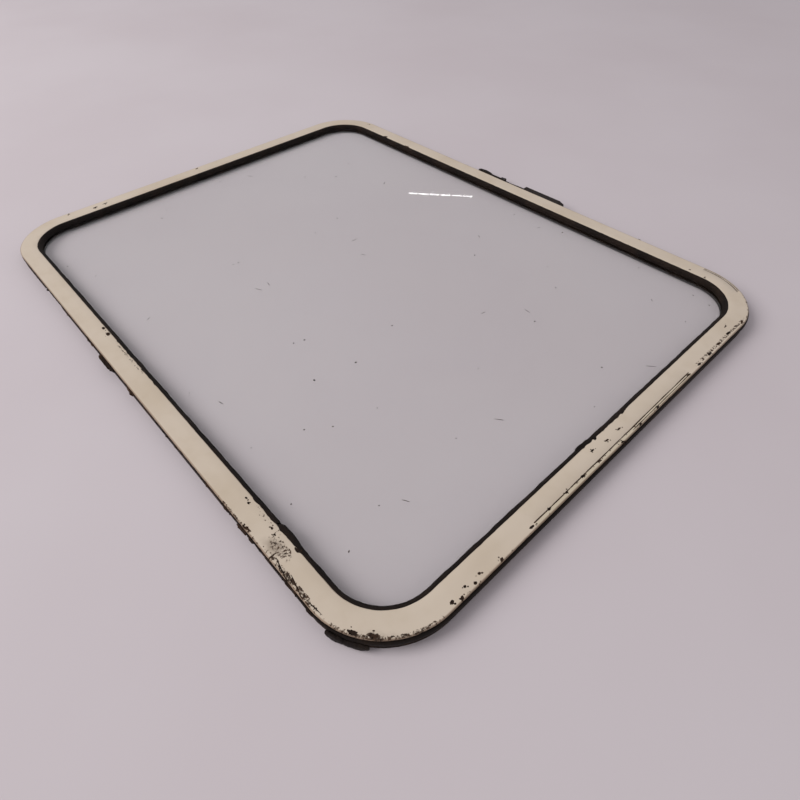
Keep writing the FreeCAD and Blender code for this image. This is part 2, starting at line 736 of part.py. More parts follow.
def make_crank():
    """Cranked flat arm on the spindle, its retaining screw and the tongue for the folding grip."""
    body = new_body("crank")

    def bar(sketch):
        top = [("0", "-crank_bar / 2 - crank_flare"), ("-crank_length / 2", "-crank_bar / 2 + crank_waist"),
               ("-crank_length * crank_bar_share", "crank_drop - crank_bar / 2 + crank_waist")]
        low = [(x, f"{y} + crank_bar") for x, y in reversed(top)]
        draw_polygon(sketch, top + low)
    pad(body, bar, "crank_base", "crank_sheet")
    pad(body, lambda sketch: draw_circle(sketch, "0", "0", "crank_hub_radius"), "crank_base", "crank_hub")

    def neck(sketch):
        draw_rectangle(sketch, "-crank_length", "crank_drop - tongue_height / 2",
                       "-crank_length * crank_neck_share", "crank_drop + tongue_height / 2")
    pad(body, neck, "crank_base", "grip_from_crank")
    pocket(body, lambda sketch: draw_circle(sketch, "0", "0", "spindle_radius"), "crank_base - 1",
           "crank_hub + 2")
    downwards = FreeCAD.Rotation(FreeCAD.Vector(1, 0, 0), -90)
    tongue = cylinder("tongue", "tongue_radius", "tongue_height", "-crank_length",
                      "crank_drop - tongue_height / 2",
                      "grip_plane", downwards)
    bore = cylinder("tongue_bore", "grip_pin_radius + running_gap", "tongue_height + 2", "-crank_length",
                    "crank_drop - tongue_height / 2 - 1", "grip_plane", downwards)
    room = box("fork_room", ("-crank_length - tongue_radius - 1", "crank_drop - tongue_height", "0"),
               ("-crank_length", "crank_drop + tongue_height", "grip_plane"))
    arm = cut_out("crank_blank", body, [room])
    on_wall(cut_out("crank", joined("crank_with_tongue", [arm, tongue]), [bore]), "crank_arm")

    top = "crank_base + crank_hub"
    shank = cylinder("crank_screw_shank", "crank_screw_radius", "crank_hub", z="crank_base")
    head = cylinder("crank_screw_head", "crank_screw_head_radius", "crank_screw_head", z=top)
    on_wall(joined("crank_fixing", [shank, head]), "crank_screw")


def make_grip():
    """Fork and stem that fold on the tongue, their pin, and the sleeve that spins on the stem."""
    downwards = FreeCAD.Rotation(FreeCAD.Vector(1, 0, 0), -90)
    backwards = FreeCAD.Rotation(FreeCAD.Vector(0, 1, 0), -90)
    half = "tongue_height / 2 + fork_gap"
    parts = []
    ears = [f"crank_drop - ({half}) - fork_ear", f"crank_drop + {half}"]
    for low in ears:
        parts.append(cylinder("ear", "tongue_radius", "fork_ear", "-crank_length", low, "grip_plane",
                              downwards))
        parts.append(box("ear_root", ("-crank_length - grip_start + fork_gap", low,
                                      "grip_plane - tongue_radius * fork_share"),
                         ("-crank_length", f"{low} + fork_ear", "grip_plane + tongue_radius * fork_share")))
    parts.append(box("fork_bridge", ("-crank_length - grip_start + fork_gap", ears[0],
                                     "grip_plane - tongue_radius * fork_share"),
                     ("-crank_length - tongue_radius - fork_room", f"{ears[1]} + fork_ear",
                      "grip_plane + tongue_radius * fork_share")))
    parts.append(cylinder("stem", "stem_radius", "grip_length + grip_start - tongue_radius",
                          "-crank_length - tongue_radius - fork_room - running_gap * 2", "crank_drop",
                          "grip_plane", backwards))
    parts.append(cylinder("stem_head", "stem_head_radius", "stem_head",
                          "-crank_length - grip_start - grip_length - fork_gap", "crank_drop",
                          "grip_plane", backwards))
    bore = cylinder("fork_bore", "grip_pin_radius", "tongue_height + 4 * fork_ear", "-crank_length",
                    f"{ears[0]} - fork_ear / 2", "grip_plane", downwards)
    on_wall(cut_out("fork", joined("fork_blank", parts), [bore]), "grip_fork")
    pin = cylinder("grip_pin_blank", "grip_pin_radius", "tongue_height + 2 * fork_gap + 2 * fork_ear",
                   "-crank_length", ears[0], "grip_plane", downwards)
    on_wall(group("grip_pin_piece", [pin]), "grip_pin")

    sleeve = new_body("sleeve")
    sketch = sketch_on(sleeve, "half_profile")
    start, bulge, end = "0", "grip_length * grip_swell_middle", "grip_length"
    draw_polygon(sketch, [(start, "stem_radius + running_gap"), (start, "grip_waist_radius"),
                          ("grip_length * grip_swell_start", "grip_waist_radius + grip_swell"),
                          (bulge, "grip_radius"),
                          ("grip_length * grip_swell_end", "grip_radius"), (end, "grip_waist_radius"),
                          (end, "stem_radius + running_gap")])
    turned = sleeve.newObject("PartDesign::Revolution", "turned_sleeve")
    turned.Profile = sketch
    turned.ReferenceAxis = (sketch, ["H_Axis"])
    turned.Angle = 360
    doc.recompute()
    sleeve.Label = "grip_sleeve"
    pieces.append(sleeve)
    place(sleeve, "spindle_from_centre - crank_length - grip_start", f"sash_width / 2 {SHIFT_Y} + grip_plane",
          "spindle_height - crank_drop", FreeCAD.Rotation(FreeCAD.Vector(0, 0, 1), 180))


def write_parts():
    """Check every object and every piece, then write one STEP file for each piece."""
    doc.recompute()
    for item in doc.Objects:
        if "Invalid" in item.State or "Error" in item.State:
            raise RuntimeError(f"{item.Label} has state {item.State}")
    for item in pieces:
        if item.Shape.isNull() or not item.Shape.isValid() or item.Shape.Volume <= 0:
            raise RuntimeError(f"{item.Label} has no valid shape")
    os.makedirs("parts", exist_ok=True)
    for item in pieces:
        item.Shape.exportStep(f"parts/{item.Label}.step")
    print(len(pieces), "pieces written")


make_face_pressing()
make_rail_channel()
make_glazing()
make_outer_seal()
make_splice_plate()
make_hinges()
make_operator_plates()
make_operator_cover()
make_gear_train()
make_stay_arm()
make_crank()
make_grip()
write_parts()
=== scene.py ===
import logging
import math
import random
from dataclasses import dataclass
from enum import Enum
from typing import Iterable, Optional, Sequence

import bmesh
import bpy
from mathutils import Matrix, Vector, noise


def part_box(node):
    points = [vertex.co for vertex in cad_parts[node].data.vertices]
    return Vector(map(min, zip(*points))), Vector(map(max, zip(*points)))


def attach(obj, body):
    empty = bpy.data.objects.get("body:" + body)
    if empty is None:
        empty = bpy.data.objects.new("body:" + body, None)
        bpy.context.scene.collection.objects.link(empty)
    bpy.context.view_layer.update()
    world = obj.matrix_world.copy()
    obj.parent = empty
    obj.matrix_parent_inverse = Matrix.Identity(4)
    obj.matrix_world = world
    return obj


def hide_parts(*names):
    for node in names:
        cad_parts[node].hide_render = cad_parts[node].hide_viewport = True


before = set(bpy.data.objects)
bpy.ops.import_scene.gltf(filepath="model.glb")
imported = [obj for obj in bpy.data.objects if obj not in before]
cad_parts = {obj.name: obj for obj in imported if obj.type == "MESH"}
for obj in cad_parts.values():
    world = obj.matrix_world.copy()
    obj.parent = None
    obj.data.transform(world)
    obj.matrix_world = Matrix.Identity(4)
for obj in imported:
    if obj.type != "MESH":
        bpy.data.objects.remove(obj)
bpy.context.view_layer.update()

log = logging.getLogger("window_sash")
MM = 0.001
Colour = tuple[float, float, float]


def linear(red: int, green: int, blue: int) -> tuple[float, float, float, float]:
    """Turn a display colour of 0 to 255 into the shader's linear colour.

    Args:
        red: display red.
        green: display green.
        blue: display blue.

    Returns:
        The linear colour with full alpha.
    """
    def channel(value: int) -> float:
        """One channel's linear value."""
        share = value / 255
        return share / 12.92 if share <= 0.04045 else ((share + 0.055) / 1.055) ** 2.4
    return (channel(red), channel(green), channel(blue), 1.0)


# ---------------------------------------------------------------- outline of the sash

class Rail(Enum):
    """The four rails, each by the direction that leads out of the sash."""

    RIGHT = (1, 0)
    FAR = (0, 1)
    LEFT = (-1, 0)
    NEAR = (0, -1)


@dataclass(frozen=True)
class SashOutline:
    """Round-cornered outline of the sash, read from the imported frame."""

    half_x: float
    half_y: float
    centre_y: float
    top: float
    corner: float = 66.5 * MM

    @classmethod
    def from_frame(cls) -> "SashOutline":
        """Measure the face pressing.

        Returns:
            The outline at its real size.
        """
        low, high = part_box("face_pressing")
        return cls((high.x - low.x) / 2, (high.y - low.y) / 2, (high.y + low.y) / 2, high.z)

    def inset(self, spot: Vector) -> float:
        """How far a point lies inside the outer edge.

        Args:
            spot: a point in the row frame.

        Returns:
            The distance in metres, negative outside the edge.
        """
        across_x = abs(spot.x) - (self.half_x - self.corner)
        across_y = abs(spot.y - self.centre_y) - (self.half_y - self.corner)
        outside = math.hypot(max(across_x, 0.0), max(across_y, 0.0))
        return self.corner - outside - min(max(across_x, across_y), 0.0)

    def outward(self, spot: Vector) -> Vector:
        """The direction that leads straight out over the edge.

        Args:
            spot: a point in the row frame.

        Returns:
            A unit vector in the plane of the sash.
        """
        reach = 0.1 * MM
        slope_x = self.inset(spot - Vector((reach, 0, 0))) - self.inset(spot + Vector((reach, 0, 0)))
        slope_y = self.inset(spot - Vector((0, reach, 0))) - self.inset(spot + Vector((0, reach, 0)))
        return Vector((slope_x, slope_y, 0)).normalized()

    def walk(self, rail: Rail, along: float, inset: float) -> tuple[Vector, Vector]:
        """Find a place by walking along the outer edge from a rail's middle, round the corner if need be.

        Args:
            rail: the rail to start on.
            along: how far to walk, anticlockwise.
            inset: how far inside the edge the place lies.

        Returns:
            The place in the plane of the sash, and the way the edge runs there.
        """
        out = Vector((*rail.value, 0))
        side = Vector((-out.y, out.x, 0)) * math.copysign(1.0, along)
        edge, end = (self.half_x, self.half_y) if out.x else (self.half_y, self.half_x)
        bend = max(abs(along) - (end - self.corner), 0.0) / self.corner
        hub = out * (edge - self.corner) + side * min(abs(along), end - self.corner)
        spoke = out * math.cos(bend) + side * math.sin(bend)
        heading = side * math.cos(bend) - out * math.sin(bend)
        return Vector((0, self.centre_y, 0)) + hub + spoke * (self.corner - inset), heading


@dataclass
class RailSweep:
    """A rail profile carried round the outline, straight by extrusion and round the corners by spin."""

    outline: SashOutline
    profile: Sequence[tuple[float, float]]
    start_x: float = 0.0
    gap: float = 0.0
    far_rail: bool = True
    step: float = 4 * MM
    corner_steps: int = 26

    def build(self) -> bmesh.types.BMesh:
        """Sweep the profile of (inset, height) pairs, given in millimetres.

        Returns:
            A closed mesh in the row frame.
        """
        outline = self.outline
        run_x, run_y = outline.half_x - outline.corner, outline.half_y - outline.corner
        begin = self.start_x if self.far_rail else -self.start_x
        mesh = bmesh.new()
        first = [mesh.verts.new((begin, outline.half_y - inset * MM, height * MM))
                 for inset, height in self.profile]
        loop = [mesh.edges.new((first[index], first[(index + 1) % len(first)]))
                for index in range(len(first))]
        opening = list(loop)
        runs = [(Vector((-1, 0, 0)), begin + run_x, (-run_x, run_y)),
                (Vector((0, -1, 0)), 2 * run_y, (-run_x, -run_y)),
                (Vector((1, 0, 0)), 2 * run_x, (run_x, -run_y)),
                (Vector((0, 1, 0)), 2 * run_y, (run_x, run_y)),
                (Vector((-1, 0, 0)), run_x - begin - self.gap, None)]
        for direction, length, corner in runs:
            loop = self._straight(mesh, loop, direction, length)
            if corner is not None:
                verts = list({vert for edge in loop for vert in edge.verts})
                spun = bmesh.ops.spin(mesh, geom=verts + loop, cent=(*corner, 0), axis=(0, 0, 1),
                                      angle=math.pi / 2, steps=self.corner_steps)
                loop = [item for item in spun["geom_last"] if isinstance(item, bmesh.types.BMEdge)]
        if self.gap > 0:
            bmesh.ops.contextual_create(mesh, geom=opening)
            bmesh.ops.contextual_create(mesh, geom=loop)
        bmesh.ops.remove_doubles(mesh, verts=mesh.verts, dist=0.001 * MM)
        if not self.far_rail:
            bmesh.ops.rotate(mesh, verts=mesh.verts, cent=(0, 0, 0), matrix=Matrix.Rotation(math.pi, 3, "Z"))
        bmesh.ops.translate(mesh, verts=mesh.verts, vec=(0, outline.centre_y, 0))
        bmesh.ops.recalc_face_normals(mesh, faces=mesh.faces)
        return mesh

    def _straight(self, mesh: bmesh.types.BMesh, loop: list, direction: Vector, length: float) -> list:
        """Extrude a loop of edges along one straight run.

        Args:
            mesh: the mesh being built.
            loop: the edges of the profile.
            direction: unit vector of the run.
            length: length of the run in metres.

        Returns:
            The edges at the far end.
        """
        count = max(1, math.ceil(length / self.step))
        for _ in range(count):
            grown = bmesh.ops.extrude_edge_only(mesh, edges=loop)["geom"]
            verts = [item for item in grown if isinstance(item, bmesh.types.BMVert)]
            bmesh.ops.translate(mesh, verts=verts, vec=direction * (length / count))
            moved = set(verts)
            loop = [item for item in grown if isinstance(item, bmesh.types.BMEdge)
                    and item.verts[0] in moved and item.verts[1] in moved]
        return loop


# ---------------------------------------------------------------- shader helpers

@dataclass
class Graph:
    """Short names for making and joining the nodes of one tree."""

    tree: bpy.types.NodeTree

    def add(self, kind: str, inputs: Optional[dict] = None, **settings: object) -> bpy.types.Node:
        """Make a node.

        Args:
            kind: the node's type without its ShaderNode prefix.
            inputs: values or output sockets, by input name or number.
            **settings: the node's own properties.

        Returns:
            The new node.
        """
        node = self.tree.nodes.new(kind if kind.startswith("NodeGroup") else "ShaderNode" + kind)
        for name, value in settings.items():
            setattr(node, name, value)
        for name, value in (inputs or {}).items():
            if isinstance(value, bpy.types.NodeSocket):
                self.tree.links.new(value, node.inputs[name])
            else:
                node.inputs[name].default_value = value
        return node

    def maths(self, operation: str, first: object, second: object = 0.0,
              third: object = 0.0) -> bpy.types.NodeSocket:
        """Work out one Math node.

        Args:
            operation: the node's operation.
            first: its first value or socket.
            second: its second value or socket.
            third: its third value or socket.

        Returns:
            The result.
        """
        return self.add("Math", {0: first, 1: second, 2: third}, operation=operation).outputs[0]

    def smooth(self, value: object, low: float, high: float, start: float = 0.0,
               end: float = 1.0) -> bpy.types.NodeSocket:
        """Ease from one number to another while a value runs through a range.

        Args:
            value: the socket that is watched.
            low: where the change begins.
            high: where it ends.
            start: the result at the beginning.
            end: the result at the end.

        Returns:
            The eased result.
        """
        node = self.add("MapRange", {"Value": value, "From Min": low, "From Max": high, "To Min": start,
                                     "To Max": end},
                        interpolation_type="SMOOTHSTEP")
        return node.outputs["Result"]

    def blend(self, share: object, first: object, second: object, mode: str = "MIX") -> bpy.types.NodeSocket:
        """Mix two colours.

        Args:
            share: how much of the second colour.
            first: the first colour or socket.
            second: the second colour or socket.
            mode: the way of mixing.

        Returns:
            The mixed colour.
        """
        node = self.add("Mix", data_type="RGBA", blend_type=mode)
        for index, value in ((0, share), (6, first), (7, second)):
            if isinstance(value, bpy.types.NodeSocket):
                self.tree.links.new(value, node.inputs[index])
            else:
                node.inputs[index].default_value = value
        return node.outputs[2]

    def group(self, name: str, **inputs: object) -> bpy.types.Node:
        """Place a shared effect with this material's own values.

        Args:
            name: the shared effect.
            **inputs: its values or sockets, with underscores for spaces.

        Returns:
            The group node.
        """
        node = self.tree.nodes.new("ShaderNodeGroup")
        node.node_tree = bpy.data.node_groups[name]
        for key, value in inputs.items():
            socket = node.inputs[key.replace("_", " ").title()]
            if isinstance(value, bpy.types.NodeSocket):
                self.tree.links.new(value, socket)
            else:
                socket.default_value = value
        return node

    def away(self, spot: object, centre: tuple[float, float], half: tuple[float, float],
             turn: float = 0.0) -> bpy.types.NodeSocket:
        """Measure the distance from a place in half sizes, so that 1 is the rim of an oval.

        Args:
            spot: where the shaded point lies.
            centre: the oval's centre in millimetres.
            half: its half sizes in millimetres.
            turn: its turn in degrees.

        Returns:
            The distance.
        """
        local = self.add("Mapping", {"Vector": spot, "Location": (*centre, 0.0), "Scale": (*half, 1.0),
                                     "Rotation": (0.0, 0.0, math.radians(turn))}, vector_type="TEXTURE")
        return self.add("VectorMath", {0: local.outputs[0]}, operation="LENGTH").outputs["Value"]


def new_group(name: str, inputs: Sequence[tuple[str, str, object]],
              outputs: Sequence[tuple[str, str]]) -> tuple:
    """Start a shared effect.

    Args:
        name: the group's name.
        inputs: name, socket kind and default of each input.
        outputs: name and socket kind of each output.

    Returns:
        The graph, the group's input node and its output node.
    """
    tree = bpy.data.node_groups.new(name, "ShaderNodeTree")
    for label, kind, default in inputs:
        socket = tree.interface.new_socket(label, in_out="INPUT", socket_type="NodeSocket" + kind)
        if default is not None:
            socket.default_value = default
    for label, kind in outputs:
        tree.interface.new_socket(label, in_out="OUTPUT", socket_type="NodeSocket" + kind)
    graph = Graph(tree)
    return graph, graph.add("NodeGroupInput"), graph.add("NodeGroupOutput")


@dataclass
class SharedEffects:
    """Node groups that several finishes use."""

    outline: SashOutline

    def build(self) -> None:
        """Make every shared effect once."""
        self._rail_place()
        self._flaking()
        self._speckle()
        self._mottle()

    def _rail_place(self) -> None:
        """Where a point lies on the rails: its inset from the outer edge, and its place, in millimetres."""
        graph, _, result = new_group("Rail place", [], [("Inset", "Float"), ("Across", "Float"),
                                                        ("Up", "Float")])
        spot = graph.add("SeparateXYZ", {0: graph.add("TexCoord").outputs["Object"]})
        outline = self.outline
        along_x = graph.maths("MULTIPLY", spot.outputs[0], 1000.0)
        along_y = graph.maths("MULTIPLY", graph.maths("SUBTRACT", spot.outputs[1], outline.centre_y), 1000.0)
        over_x = graph.maths("SUBTRACT", graph.maths("ABSOLUTE", along_x),
                             (outline.half_x - outline.corner) * 1000)
        over_y = graph.maths("SUBTRACT", graph.maths("ABSOLUTE", along_y),
                             (outline.half_y - outline.corner) * 1000)
        far_x = graph.maths("MAXIMUM", over_x, 0.0)
        far_y = graph.maths("MAXIMUM", over_y, 0.0)
        outside = graph.maths("SQRT", graph.maths("ADD", graph.maths("MULTIPLY", far_x, far_x),
                                                  graph.maths("MULTIPLY", far_y, far_y)))
        inside = graph.maths("MINIMUM", graph.maths("MAXIMUM", over_x, over_y), 0.0)
        inset = graph.maths("SUBTRACT", outline.corner * 1000, graph.maths("ADD", outside, inside))
        for label, socket in (("Inset", inset), ("Across", along_x), ("Up", along_y)):
            graph.tree.links.new(socket, result.inputs[label])

    @staticmethod
    def _flaking() -> None:
        """Ragged patches where a skin has come away."""
        graph, given, result = new_group(
            "Flaking", [("Size", "Float", 6.0), ("Amount", "Float", 0.3), ("Softness", "Float", 0.02)],
            [("Mask", "Float")])
        place = graph.add("TexCoord").outputs["Object"]
        scale = graph.maths("DIVIDE", 1000.0, given.outputs["Size"])
        rough = graph.add("TexNoise", {"Vector": place, "Scale": scale, "Detail": 9.0, "Roughness": 0.66})
        shifted = graph.maths("ADD", rough.outputs["Fac"],
                              graph.maths("MULTIPLY", given.outputs["Amount"], 0.5))
        low = graph.maths("SUBTRACT", 0.78, given.outputs["Softness"])
        node = graph.add("MapRange", {"Value": shifted, "From Min": low, "From Max": 0.79})
        graph.tree.links.new(node.outputs[0], result.inputs["Mask"])

    @staticmethod
    def _speckle() -> None:
        """Small round specks, one in some of the cells of a random lattice."""
        graph, given, result = new_group(
            "Speckle", [("Size", "Float", 4.0), ("Reach", "Float", 0.2), ("Share", "Float", 0.3)],
            [("Mask", "Float")])
        place = graph.add("TexCoord").outputs["Object"]
        scale = graph.maths("DIVIDE", 1000.0, given.outputs["Size"])
        bend = graph.add("TexNoise", {"Vector": place, "Scale": graph.maths("MULTIPLY", scale, 2.0),
                                      "Detail": 3.0})
        offset = graph.add("VectorMath", {0: bend.outputs["Color"]}, operation="SCALE")
        offset.inputs["Scale"].default_value = 0.0016
        moved = graph.add("VectorMath", {0: place, 1: offset.outputs[0]}, operation="ADD").outputs[0]
        cells = graph.add("TexVoronoi", {"Vector": moved, "Scale": scale})
        chance = graph.add("SeparateColor", {0: cells.outputs["Color"]}).outputs[0]
        chosen = graph.maths("LESS_THAN", chance, given.outputs["Share"])
        near = graph.maths("LESS_THAN", cells.outputs["Distance"],
                           graph.maths("MULTIPLY", given.outputs["Reach"], chance))
        inside = graph.maths("LESS_THAN", cells.outputs["Distance"], given.outputs["Reach"])
        both = graph.maths("MULTIPLY", chosen, graph.maths("MAXIMUM", near, inside))
        graph.tree.links.new(both, result.inputs["Mask"])

    @staticmethod
    def _mottle() -> None:
        """Slow and fine unevenness of colour, and a grain for the surface."""
        graph, given, result = new_group("Mottle", [("Size", "Float", 60.0)],
                                         [("Slow", "Float"), ("Fine", "Float")])
        place = graph.add("TexCoord").outputs["Object"]
        scale = graph.maths("DIVIDE", 1000.0, given.outputs["Size"])
        slow = graph.add("TexNoise", {"Vector": place, "Scale": scale, "Detail": 4.0, "Roughness": 0.5})
        fine = graph.add("TexNoise", {"Vector": place, "Scale": graph.maths("MULTIPLY", scale, 16.0),
                                      "Detail": 6.0,
                                      "Roughness": 0.7})
        graph.tree.links.new(slow.outputs["Fac"], result.inputs["Slow"])
        graph.tree.links.new(fine.outputs["Fac"], result.inputs["Fine"])


def start_material(name: str) -> tuple[bpy.types.Material, Graph, bpy.types.Node]:
    """Make a material with one Principled shader.

    Args:
        name: the material's name.

    Returns:
        The material, its graph and its Principled node.
    """
    material = bpy.data.materials.new(name)
    material.use_nodes = True
    return material, Graph(material.node_tree), material.node_tree.nodes["Principled BSDF"]


# ---------------------------------------------------------------- finishes

class SpotRow(Enum):
    """Rows of rust spots.

    Each row gives its rail, its first and last place from the rail's middle, its least and most inset, how
    many spots it has, their half length and the share of that which is the half width, in millimetres.
    """

    RIGHT_CORNER = (Rail.RIGHT, -202, -174, 1.5, 7.0, 5, 1.8, 0.75)
    RIGHT_LONE = (Rail.RIGHT, -155, -155, 1.6, 1.6, 1, 1.9, 0.75)
    RIGHT_HEM = (Rail.RIGHT, -120, -35, 3.0, 4.0, 5, 2.6, 0.45)
    RIGHT_SQUIGGLES = (Rail.RIGHT, -30, 5, 10.5, 13.0, 3, 2.4, 0.35)
    RIGHT_RIM = (Rail.RIGHT, -5, 50, 0.8, 1.4, 3, 2.6, 0.4)
    RIGHT_CLUMPS = (Rail.RIGHT, 105, 165, 2.4, 3.6, 4, 3.4, 0.38)
    RIGHT_DASHES = (Rail.RIGHT, 186, 212, 2.8, 4.4, 2, 4.4, 0.3)
    RIGHT_DASH = (Rail.RIGHT, 194, 194, 11.0, 11.0, 1, 2.2, 0.36)
    TORN_CORNER = (Rail.RIGHT, -276, -262, 2.2, 2.6, 2, 3.4, 0.5)
    NEAR_LIP = (Rail.NEAR, -90, -78, 15.5, 18.5, 2, 2.8, 0.6)
    NEAR_DOTS = (Rail.NEAR, 183, 188, 14.0, 17.5, 2, 1.5, 0.55)
    NEAR_PATCH = (Rail.NEAR, 206, 206, 1.5, 1.5, 1, 6.0, 0.2)
    JOINT_DOTS = (Rail.NEAR, 218, 224, 12.5, 15.5, 2, 1.7, 0.5)
    JOINT_BIT = (Rail.NEAR, 245, 245, 18.3, 18.3, 1, 3.0, 0.4)
    NEAR_FLAKES = (Rail.NEAR, 250, 285, 1.5, 4.3, 3, 11.0, 0.04)
    FAR_CORNER = (Rail.FAR, -287, -268, 13.0, 18.0, 2, 1.4, 0.6)
    FAR_LIP = (Rail.FAR, 184, 234, 18.0, 19.4, 2, 3.6, 0.55)
    FAR_DOT = (Rail.FAR, 289, 289, 5.0, 5.0, 1, 1.8, 0.5)
    LEFT_DOTS = (Rail.LEFT, 12, 196, 3.0, 4.0, 2, 2.3, 0.5)
    LEFT_CLUMPS = (Rail.LEFT, 150, 164, 8.0, 11.0, 2, 3.2, 0.5)


class Wear(Enum):
    """Pitted stretches of the rim: place, half sizes and inset band in millimetres, and strength."""

    NEAR_CORNER = (322, -240, 58, 52, 0.0, 3.6, 0.5)
    CORNER_PATCH = (328, -255, 8, 7, 0.0, 5.6, 0.6)
    RIGHT_LOW = (350, -150, 14, 80, 0.2, 2.6, 0.32)
    RIGHT_MIDDLE = (350, -20, 12, 80, 2.4, 5.4, 0.36)
    RIGHT_RIM = (350, 30, 12, 90, 0.0, 1.4, 0.42)
    FAR_RIGHT = (346, 168, 20, 68, 2.2, 6.2, 0.46)
    FAR_CORNER = (330, 232, 44, 40, 0.0, 2.6, 0.44)
    JOINT = (262, -272, 44, 9, 0.4, 5.4, 0.50)
    JOINT_SMEAR = (236, -262, 18, 9, 5.0, 16.0, 0.46)
    JOINT_INNER = (212, -254, 34, 7, 12.0, 18.6, 0.36)
    NEAR_EDGE = (196, -273, 40, 5, 0.0, 2.6, 0.46)
    NEAR_MIDDLE = (-30, -254, 60, 5, 15.5, 18.8, 0.44)
    LEFT_RIM = (-350, 0, 14, 270, 0.0, 1.0, 0.34)


